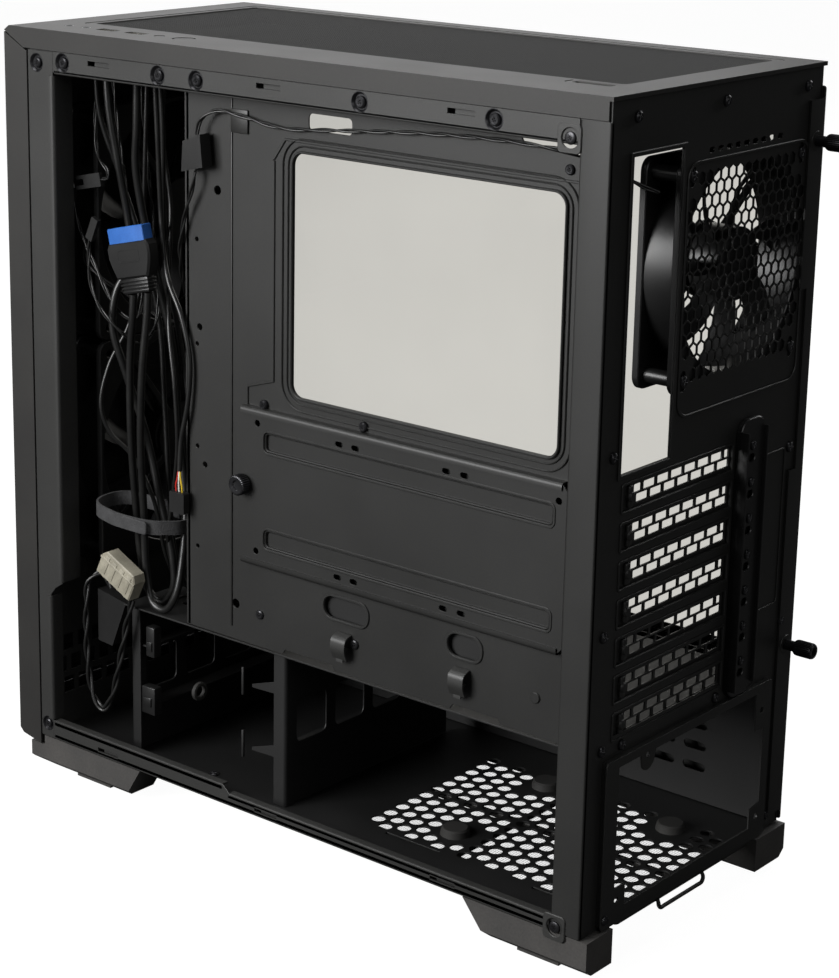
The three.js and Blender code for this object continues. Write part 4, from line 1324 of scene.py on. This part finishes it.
def makeFrontCover():
    keepNode("front_bezel", "mouldedShell", 0.9, 3)
    y0, y1 = span("front_mesh", "y")
    sheet = plate("y", y0 + 0.5, y1 - 0.3, rounded(-83, 83, 45, 431, 8), (), 0.05)
    addPiece("front-mesh", [sheet], "frontMesh", "front_cover", ["front_mesh"])
    rims = [plate("y", y0, y1, rounded(-83.7, 83.7, 44.3, 431.7, 8), [rounded(-81, 81, 47, 429, 6)], 0.3)]
    rims += [block(-81.5, 81.5, y0 + 0.1, y1, z - 1.2, z + 1.2, 0.3) for z in (140, 238, 336)]
    addPiece("front-mesh-frame", rims, "mouldedShell", "front_cover")


makeFrontCover()


def makeSupplyFilter():
    y0 = span("supply_filter", "y")[0]
    base = 20.2
    windows = [rounded(*xs, *ys, 3) for ys in ((6, 100), (103, 203)) for xs in ((-60, -1.5), (1.5, 60))]
    shapes = [plate("z", base, 23.4, rounded(-66, 66, y0, rearY + 1, 3), windows, 0.5)]
    loop = [
        (-15.8, rearY, 21.6), (-15.9, rearY + 1.9, 21.2), (-15.9, rearY + 2.6, 18.6),
        (-14.2, rearY + 2.7, 16.7),
    ]
    loop += [
        (-10, rearY + 2.7, 16.6), (6, rearY + 2.7, 16.6), (22, rearY + 2.7, 16.6),
        (26.2, rearY + 2.7, 16.7),
    ]
    loop += [(27.9, rearY + 2.6, 18.6), (27.9, rearY + 1.9, 21.2), (27.8, rearY, 21.6)]
    shapes.append(wire(smoothLine(loop, 1.5), 1.15, 10))
    addPiece("supply-filter-frame", shapes, "mouldedShell", "supply_filter", ["supply_filter"])
    sheet = plate("z", base + 0.8, base + 1.1, rounded(-62, 62, 4, 205, 3), (), 0.05)
    addPiece("supply-filter-mesh", [sheet], "fineMesh", "supply_filter")


makeSupplyFilter()


def makeLeftCover():
    x0, x1 = -99.5, farX - 0.3
    y0, y1 = -191, 216
    pane = (-165, 184, 124, 429)
    bed = rounded(pane[0] - 5, pane[1] + 5, pane[2] - 5, pane[3] + 4, 8, 8)
    shapes = [plate("x", x0, x0 + 1, rounded(y0, y1 - 1.6, 25, 446, 1.5), [rounded(*pane, 8, 8)], 0.3)]
    shapes.append(plate("x", x0 + 0.8, x1, rounded(y0 + 6, y1 - 8, 31, 440, 1.5), [bed], 0.2))
    # The rear edge is folded over, less far between the screws.
    for end, low, high in ((-84.4, 337.6, 439.6), (-84.4, 31.4, 236.4), (-91, 236.4, 337.6)):
        line = [(end, rearY + 1.5), (x0, rearY + 1.5), (x0, rearY - 3)]
        shapes.append(folded("z", line, low, high, 1.2, 1.4))
    for z in handScrews["zs"]:
        shapes.append(
            turned(
                "y", (handScrews["x"], z),
                [
                    (2.4, rearY + 1.2), (5.6, rearY + 1.2), (5.2, rearY + 1.75), (2.4, rearY + 1.75),
                    (2.4, rearY + 1.2),
                ],
                24,
            )
        )
    addPiece("left-cover", shapes, "steelPaintedShade", "left_cover", ["left_cover"])
    outer, inner = span("left_window", "x")
    sheet = plate("x", outer, inner, bed, (), 0.3)
    addPiece("left-window", [sheet], "tintedPane", "left_cover", ["left_window"])
    clips = [
        turned("x", (y, z), [(0, inner), (3.6, inner), (3.2, inner + 1.4), (0, inner + 1.6)], 20)
        for y in (-167.5, 186)
        for z in (150, 276, 402)
    ]
    addPiece("window-rivets", clips, "blackNylon", "left_cover")


makeLeftCover()


for foot in ("rear_foot_right", "front_foot_right", "rear_foot_left", "front_foot_left"):
    keepNode(foot, "footShellPaintedLight", 0.8, 3)

# Ports, buttons and plugs.
ports = {"jacks": (-182, -168), "jackRadius": 3.2, "reset": -109, "power": -90}


def makePorts():
    keepNode("port_board", "solderMask", 0.2, 1)
    keepNode("audio_jacks", "blackNylon", 0.2, 2)
    for i in (1, 2):
        keepNode("usb_port_%d" % i, "nickelPlate", 0.15, 2)
    x = cap["marginX"]
    for name, y, radius in (("reset_button", ports["reset"], 3.0), ("power_button", ports["power"], 6.4)):
        foot, top = span(name, "z")
        dip = 0.35 if radius > 4 else 0.1
        profile = [
            (0, foot), (radius * 0.5, foot), (radius * 0.5, top - 3.8), (radius - 0.1, top - 3.8),
            (radius, top - 3.6),
        ]
        profile += [
            (radius, top - 0.5), (radius - 0.15, top - 0.15), (radius - 0.5, top),
            (radius * 0.6, top - dip * 0.6), (0, top - dip),
        ]
        addPiece(name.replace("_", "-"), [turned("z", (x, y), profile, 48)], "mouldedShell", name, [name])
    rings = []
    radius = ports["jackRadius"]
    for y in ports["jacks"]:
        rings.append(
            turned(
                "z", (x, y),
                [
                    (radius - 1.2, capZ - 0.2), (radius - 0.3, capZ - 0.1), (radius - 0.2, capZ - 2),
                    (radius - 1.2, capZ - 2), (radius - 1.2, capZ - 0.2),
                ],
                28,
            )
        )
    addPiece("sound-socket-rings", rings, "blackenedScrew")


makePorts()


keepNode("switch_plug", "whiteNylon", 0.5, 2)
for plug in ("audio_plug", "led_plug", "reset_plug", "fan_hub_plug", "power_socket"):
    keepNode(plug, "blackNylon", 0.5, 2)


# Where each hanging plug is held, its turn in radians, and the power plug's pins.
usbHang = ((0, -119.5, 343), 0.237)
powerHang = ((0, -130, 141), -0.45)
pinYs = [-9.75 + 6.5 * k for k in range(4)]


# Turns shapes about an axis through a point, as the plug hangs.
def hang(shapes, at, angle):
    turn = Matrix.Translation(at) @ Matrix.Rotation(angle, 4, "X")
    for shape in shapes:
        shape.transform(turn)
    return shapes


def makeUsbPlug():
    shell = [
        plate(
            "z", -0.6, 8.5, rounded(84.6, 92.4, -14.4, 14.4, 0.8), [rounded(86, 91, -12.8, 12.8, 0.4)],
            0.3,
        )
    ]
    shell.append(block(85.4, 91.6, -13.4, 13.4, -0.6, 2.2, 0.3))
    shell.append(block(84.0, 85.4, -3.4, 3.4, 0.2, 7.8, 0.4))
    blue = addPiece("usb-plug-shell", hang(shell, *usbHang), "bluePlug", stands=["usb_plug"])
    ring = [
        (-15, 0.1), (-17, -3), (-17, -9), (-15.6, -14), (-12.6, -21), (12.6, -21), (15.6, -14),
        (17, -9), (17, -3), (15, 0.1),
    ]
    body = [plate("x", 84.1, 92.9, ring, (), 1.1)]
    for k in range(4):
        body.append(
            block(
                84.6 + 0.2 * k, 92.4 - 0.2 * k, -11.6 + 0.3 * k, 11.6 - 0.3 * k, -23.2 - 2 * k,
                -21.9 - 2 * k, 0.4,
            )
        )
    body += [
        block(85.6, 91.4, -10.6, 10.6, -30, -20.6, 1.2),
        plate("x", 92.6, 93, rounded(-9, 9, -12, -4, 2), [rounded(-8, 8, -11, -5, 1.4)], 0.1),
    ]
    grip = addPiece("usb-plug-body", hang(body, *usbHang), "blackNylon")
    return [blue, grip]


def makePowerPlug():
    ring = [(-15, -8.5), (-11, -8.5), (11, -8.5), (15, -8.5), (15, 4.6), (12, 8.5), (-12, 8.5), (-15, 4.6)]
    body = [plate("x", 84.2, 93.8, ring, [], 0.7)]
    for y in pinYs:
        body += [
            turned(
                "z", (89, y),
                [
                    (2.5, -10.2), (2.9, -9.9), (2.9, -8), (0, -8), (0, -8.4), (1.9, -8.6), (1.9, -10),
                    (2.5, -10.2),
                ],
                16,
            ),
            block(93.4, 94.2, y - 1.9, y + 1.9, -6, 6.4, 0.3),
        ]
    body.append(block(93.2, 94.4, -15.2, 15.2, 2.6, 4.2, 0.4))
    cream = addPiece("power-plug", hang(body, *powerHang), "creamNylon", stands=["power_plug"])
    pins = [turned("z", (89, y), [(0, -11.4), (1.1, -11.2), (1.3, -8), (0, -8)], 10) for y in pinYs]
    metal = addPiece("power-plug-pins", hang(pins, *powerHang), "nickelPlate")
    return [cream, metal]


usbPieces = makeUsbPlug()
powerPieces = makePowerPlug()
print("ports and plugs made")

# Leads: diameter, then the route from the part that each one leaves to its plug.
routes = {
    "usb_lead_1": (4.6, [
        (80, -147, 437.7), (80, -145, 415), (77, -141, 383), (72, -138, 347), (74, -135, 326),
        (82, -139, 309), (84, -140, 288), (80, -134, 262), (71, -127, 225), (69, -117, 185),
        (69, -107, 150), (69, -107, 132), (70, -116, 121.5), (71, -127, 128), (72, -131, 148),
        (76, -131, 185), (82, -128, 225), (85, -125, 270), (88, -119.5, 298), (88.3, -118.2, 312),
    ]),
    "usb_lead_2": (4.6, [
        (80, -122, 437.7), (79, -124, 405), (77, -127, 384), (71, -126, 350), (67, -117, 311),
        (64, -111, 276), (64, -106, 225), (66, -99, 185), (73, -95, 155), (79, -95, 133),
        (80, -103, 122), (80, -113, 124), (79, -119, 140), (80, -120, 180), (86, -116, 225),
        (89, -111, 270), (88.5, -107.5, 300), (88.3, -106.6, 314.8),
    ]),
    "audio_lead": (3.0, [
        (84, -104, 437.7), (82, -104, 400), (78, -106, 360), (79, -103, 338), (84, -94, 322),
        (86.5, -82, 305), (87, -75, 281), (87.5, -76, 256), (88, -81, 232), (88.5, -82, 214),
    ]),
    "switch_lead": (2.4, [
        (68, -155, 437.7), (66, -152, 400), (64, -144, 345), (68, -132, 302), (76, -130, 293),
        (80, -140, 298), (80, -156, 318), (79, -170, 338), (78.2, -177, 353), (78, -180.5, 363.6),
    ]),
    "led_lead": (2.4, [
        (70, -167, 437.7), (70, -166, 424), (73, -164, 402), (78, -157, 388), (82, -150, 384),
        (83, -144, 380), (82.4, -144.5, 375.5), (82, -149.6, 374.2),
    ]),
    "reset_lead": (2.4, [
        (67, -134, 437.7), (62, -133, 390), (58, -131, 330), (63, -125, 292), (76, -124, 280),
        (88, -133, 290), (91, -146, 304), (91, -152, 320), (91, -151.2, 339.6),
    ]),
    "fan_lead": (2.6, [
        (71.4, -176, 330), (75, -172, 322), (72, -160, 312), (64, -150, 304), (54, -126, 290),
        (54, -106, 296), (67, -97, 312), (78, -90, 328), (86, -83, 346), (88.5, -76, 366), (90, -69, 381),
        (90, -67, 389.4),
    ]),
    "rear_fan_lead": (2.6, [
        (90, -66, 409.7), (90, -63, 418), (88, -54, 424), (87, -36, 423), (86.5, -8, 419.5),
        (86.5, 34, 422.5), (86.5, 88, 427), (86.5, 126, 428.8), (86.5, 160, 429), (84, 176, 427.6),
        (78, 181, 424.6), (62, 183, 419), (50, 187, 413), (41, 194, 407), (35.4, 200, 404),
    ]),
    "spare_lead_1": (3.2, [
        (74, -162, 437.7), (73, -160, 410), (66, -150, 372), (60, -138, 330), (58, -128, 290),
        (60, -122, 240), (62, -117, 195), (60, -114, 150), (50, -112, 126), (30, -110, 121.6),
    ]),
    "spare_lead_2": (3.2, [
        (76, -108, 437.7), (74, -108, 405), (70, -112, 365), (62, -118, 325), (58, -112, 285),
        (58, -104, 240), (60, -100, 200), (58, -100, 150), (46, -102, 127), (26, -103, 121.6),
    ]),
    "spare_lead_3": (2.6, [
        (62, -118, 437.7), (62, -120, 400), (60, -116, 360), (70, -108, 318), (80, -98, 292),
        (84, -90, 262), (82, -90, 226), (76, -100, 190), (70, -110, 160), (56, -116, 134), (
            38, -118, 121.3,
        ),
    ]),
    "spare_lead_4": (2.6, [
        (66, -128, 437.7), (66, -130, 396), (64, -134, 352), (60, -140, 312), (66, -146, 284),
        (76, -152, 262), (81, -154, 238), (78, -150, 222), (70, -140, 208), (64, -128, 182),
        (60, -122, 148), (48, -122, 126), (30, -124, 121.3),
    ]),
    "power_lead": (4.4, [
        (87.5, -123, 125.4), (87.5, -127, 112), (87.5, -134, 84), (87.5, -141, 60), (87.5, -149, 49),
        (87.5, -157, 55), (87.5, -162, 78), (87, -163, 110), (85, -162, 128), (79.5, -156, 133),
        (78, -150.5, 124),
    ]),
}
# Leads whose route is written from the plug back.
turnedRound = ("rear_fan_lead", "power_lead")
# Leads of two twisted wires; the others have one round sheath.
pairs = ("switch_lead", "led_lead", "reset_lead", "fan_lead", "rear_fan_lead", "power_lead")
wireLook = {"tints": ("redWire", "whiteNylon", "yellowWire"), "top": 216, "foot": 201.6}


# Three coloured wires fan out of the sound lead's sheath into its plug.
def makeSoundWires():
    made = []
    for k, tint in enumerate(wireLook["tints"]):
        y = -82.2 + 2.4 * (k - 1)
        line = [
            (88.5, -82 + 0.5 * (k - 1), wireLook["top"]), (88.9, (y - 82) / 2, 210), (88.9, y, 205),
            (88.6, y, wireLook["foot"]),
        ]
        made.append(addPiece("sound-wire-%d" % (k + 1), [wire(smoothLine(line, 1.2), 0.55, 8)], tint))
    return made


soundWires = makeSoundWires()


# Two wires laid side by side along a line, turning slowly round it.
def twistedPair(line, diameter, lay=38.0):
    radius = diameter / 4
    made = []
    for k in range(2):
        points = []
        along = 0.0
        side = None
        for i, point in enumerate(line):
            ahead = (line[min(i + 1, len(line) - 1)] - line[max(i - 1, 0)]).normalized()
            if side is None:
                side = ahead.orthogonal().normalized()
            side = (side - ahead * side.dot(ahead)).normalized()
            other = ahead.cross(side)
            if i:
                along += (point - line[i - 1]).length
            angle = 2 * math.pi * (along / lay + k / 2)
            points.append(point + (side * math.cos(angle) + other * math.sin(angle)) * radius)
        made.append(wire(points, radius * 0.98, 8))
    return made


def makeLeads():
    for name, (diameter, points) in routes.items():
        line = smoothLine(points, 2.2)
        if name in turnedRound:
            line = line[::-1]
        shapes = twistedPair(line, diameter) if name in pairs else [wire(line, diameter / 2, 12)]
        made = addPiece(
            name.replace("_", "-"), shapes, "leadSheath", stands=[name] if name in nodes else [],
            sharp=60,
        )


makeLeads()
print("leads made")

# The strap round the bundle.
strapLook = {"middle": (74, -125), "reach": (19.6, 33.6), "wide": 8.4, "thick": 1.3, "tilt": 0.03}


# Strap: a flat band laid round the bundle, its end tucked through a buckle.
def makeStrap():
    made = bmesh.new()
    u, v = strapLook["middle"]
    wide, thick = strapLook["wide"], strapLook["thick"]
    rings = []
    steps = 56
    for i in range(steps):
        angle = 2 * math.pi * i / steps
        c, s = math.cos(angle), math.sin(angle)
        c = math.copysign(abs(c) ** 0.8, c)
        s = math.copysign(abs(s) ** 0.8, s)
        sag = 1 + 0.05 * math.sin(3 * angle + 0.6) + 0.03 * math.sin(5 * angle)
        rx, ry = (r * min(sag, 1.0) for r in strapLook["reach"])
        y = v + ry * s
        middle = 175.5 - strapLook["tilt"] * (y - v) + 0.7 * math.sin(2 * angle)
        ring = []
        for inset, rise in ((0, -wide / 2), (0, wide / 2), (thick, wide / 2), (thick, -wide / 2)):
            ring.append(made.verts.new((u + (rx - inset) * c, v + (ry - inset) * s, middle + rise)))
        rings.append(ring)
    for i in range(steps):
        low, high = rings[i], rings[(i + 1) % steps]
        for k in range(4):
            made.faces.new((low[k], low[(k + 1) % 4], high[(k + 1) % 4], high[k]))
    flap = plate("x", 93.4, 94.6, rounded(-124, -104, 171.4, 179.4, 2), (), 0.5)
    addPiece("cable-strap", [made, flap], "strapPile", stands=["cable_strap"])


makeStrap()

stage = {"floor": 14.0, "glow": 0.97, "dim": 0.03, "bounce": 0.06}


def makeStage():
    made, tree = startMaterial("paleFloor")
    where = addNode(tree, "TexCoord").outputs["Object"]
    cloud = addNode(tree, "TexNoise", {"Vector": where, "Scale": 3.0, "Detail": 3.0})
    tint = ramp(tree, cloud.outputs["Fac"], [(0.3, colour("#5c5c5b")), (0.7, colour("#62625f"))])
    shade = addNode(tree, "BsdfDiffuse", {"Color": tint})
    glow = addNode(tree, "Emission", {"Color": (1, 1, 1, 1), "Strength": stage["glow"]})
    both = addNode(tree, "AddShader", {0: shade.outputs["BSDF"], 1: glow.outputs["Emission"]})
    dull = addNode(tree, "BsdfDiffuse", {"Color": (stage["bounce"], stage["bounce"], stage["bounce"], 1)})
    path = addNode(tree, "LightPath")
    mixed = addNode(
        tree, "MixShader",
        {0: path.outputs["Is Camera Ray"], 1: dull.outputs["BSDF"], 2: both.outputs["Shader"]},
    )
    finishMaterial(tree, mixed.outputs["Shader"])
    mesh = bpy.data.meshes.new("floor")
    r = stage["floor"]
    mesh.from_pydata([(-r, -r, 0), (r, -r, 0), (r, r, 0), (-r, r, 0)], [], [(0, 1, 2, 3)])
    mesh.materials.append(made)
    floorPiece = bpy.data.objects.new("floor", mesh)
    bpy.context.scene.collection.objects.link(floorPiece)
    world = bpy.data.worlds.new("studio")
    world.use_nodes = True
    tree = world.node_tree
    tree.nodes.clear()
    seen = addNode(tree, "Background", {"Color": (1, 1, 1, 1), "Strength": 1.0})
    around = addNode(tree, "Background", {"Color": (0.95, 0.97, 1, 1), "Strength": stage["dim"]})
    path = addNode(tree, "LightPath")
    mixed = addNode(
        tree, "MixShader",
        {
            0: path.outputs["Is Camera Ray"], 1: around.outputs["Background"],
            2: seen.outputs["Background"],
        },
    )
    addNode(tree, "OutputWorld", {"Surface": mixed.outputs["Shader"]})
    bpy.context.scene.world = world
    bpy.context.scene.view_settings.view_transform = "Standard"


makeStage()

# Softboxes: place, aim, width, height, power in watts.
lights = {
    "side": ((1.9, -0.7, 1.0), (0, 0.05, 0.2), 1.2, 1.2, 68),
    "top": ((0.3, -0.3, 2.2), (0, 0, 0.3), 1.4, 1.4, 30),
    "front": ((-1.6, -1.7, 1.0), (0, 0, 0.4), 1.8, 1.0, 11),
    "rear": ((0.9, 2.4, 1.3), (0, 0.2, 0.25), 1.4, 1.4, 10),
    "far": ((-2.4, 0.0, 1.3), (0, 0, 0.25), 1.4, 1.4, 22),
}


def makeLights():
    for name, (at, aim, wide, high, power) in lights.items():
        light = bpy.data.lights.new(name, "AREA")
        light.shape = "RECTANGLE"
        light.size, light.size_y = wide, high
        light.energy = power
        lamp = bpy.data.objects.new(name, light)
        lamp.location = at
        lamp.rotation_euler = (Vector(at) - Vector(aim)).to_track_quat("Z", "Y").to_euler()
        bpy.context.scene.collection.objects.link(lamp)


makeLights()
print("stage and lights made")
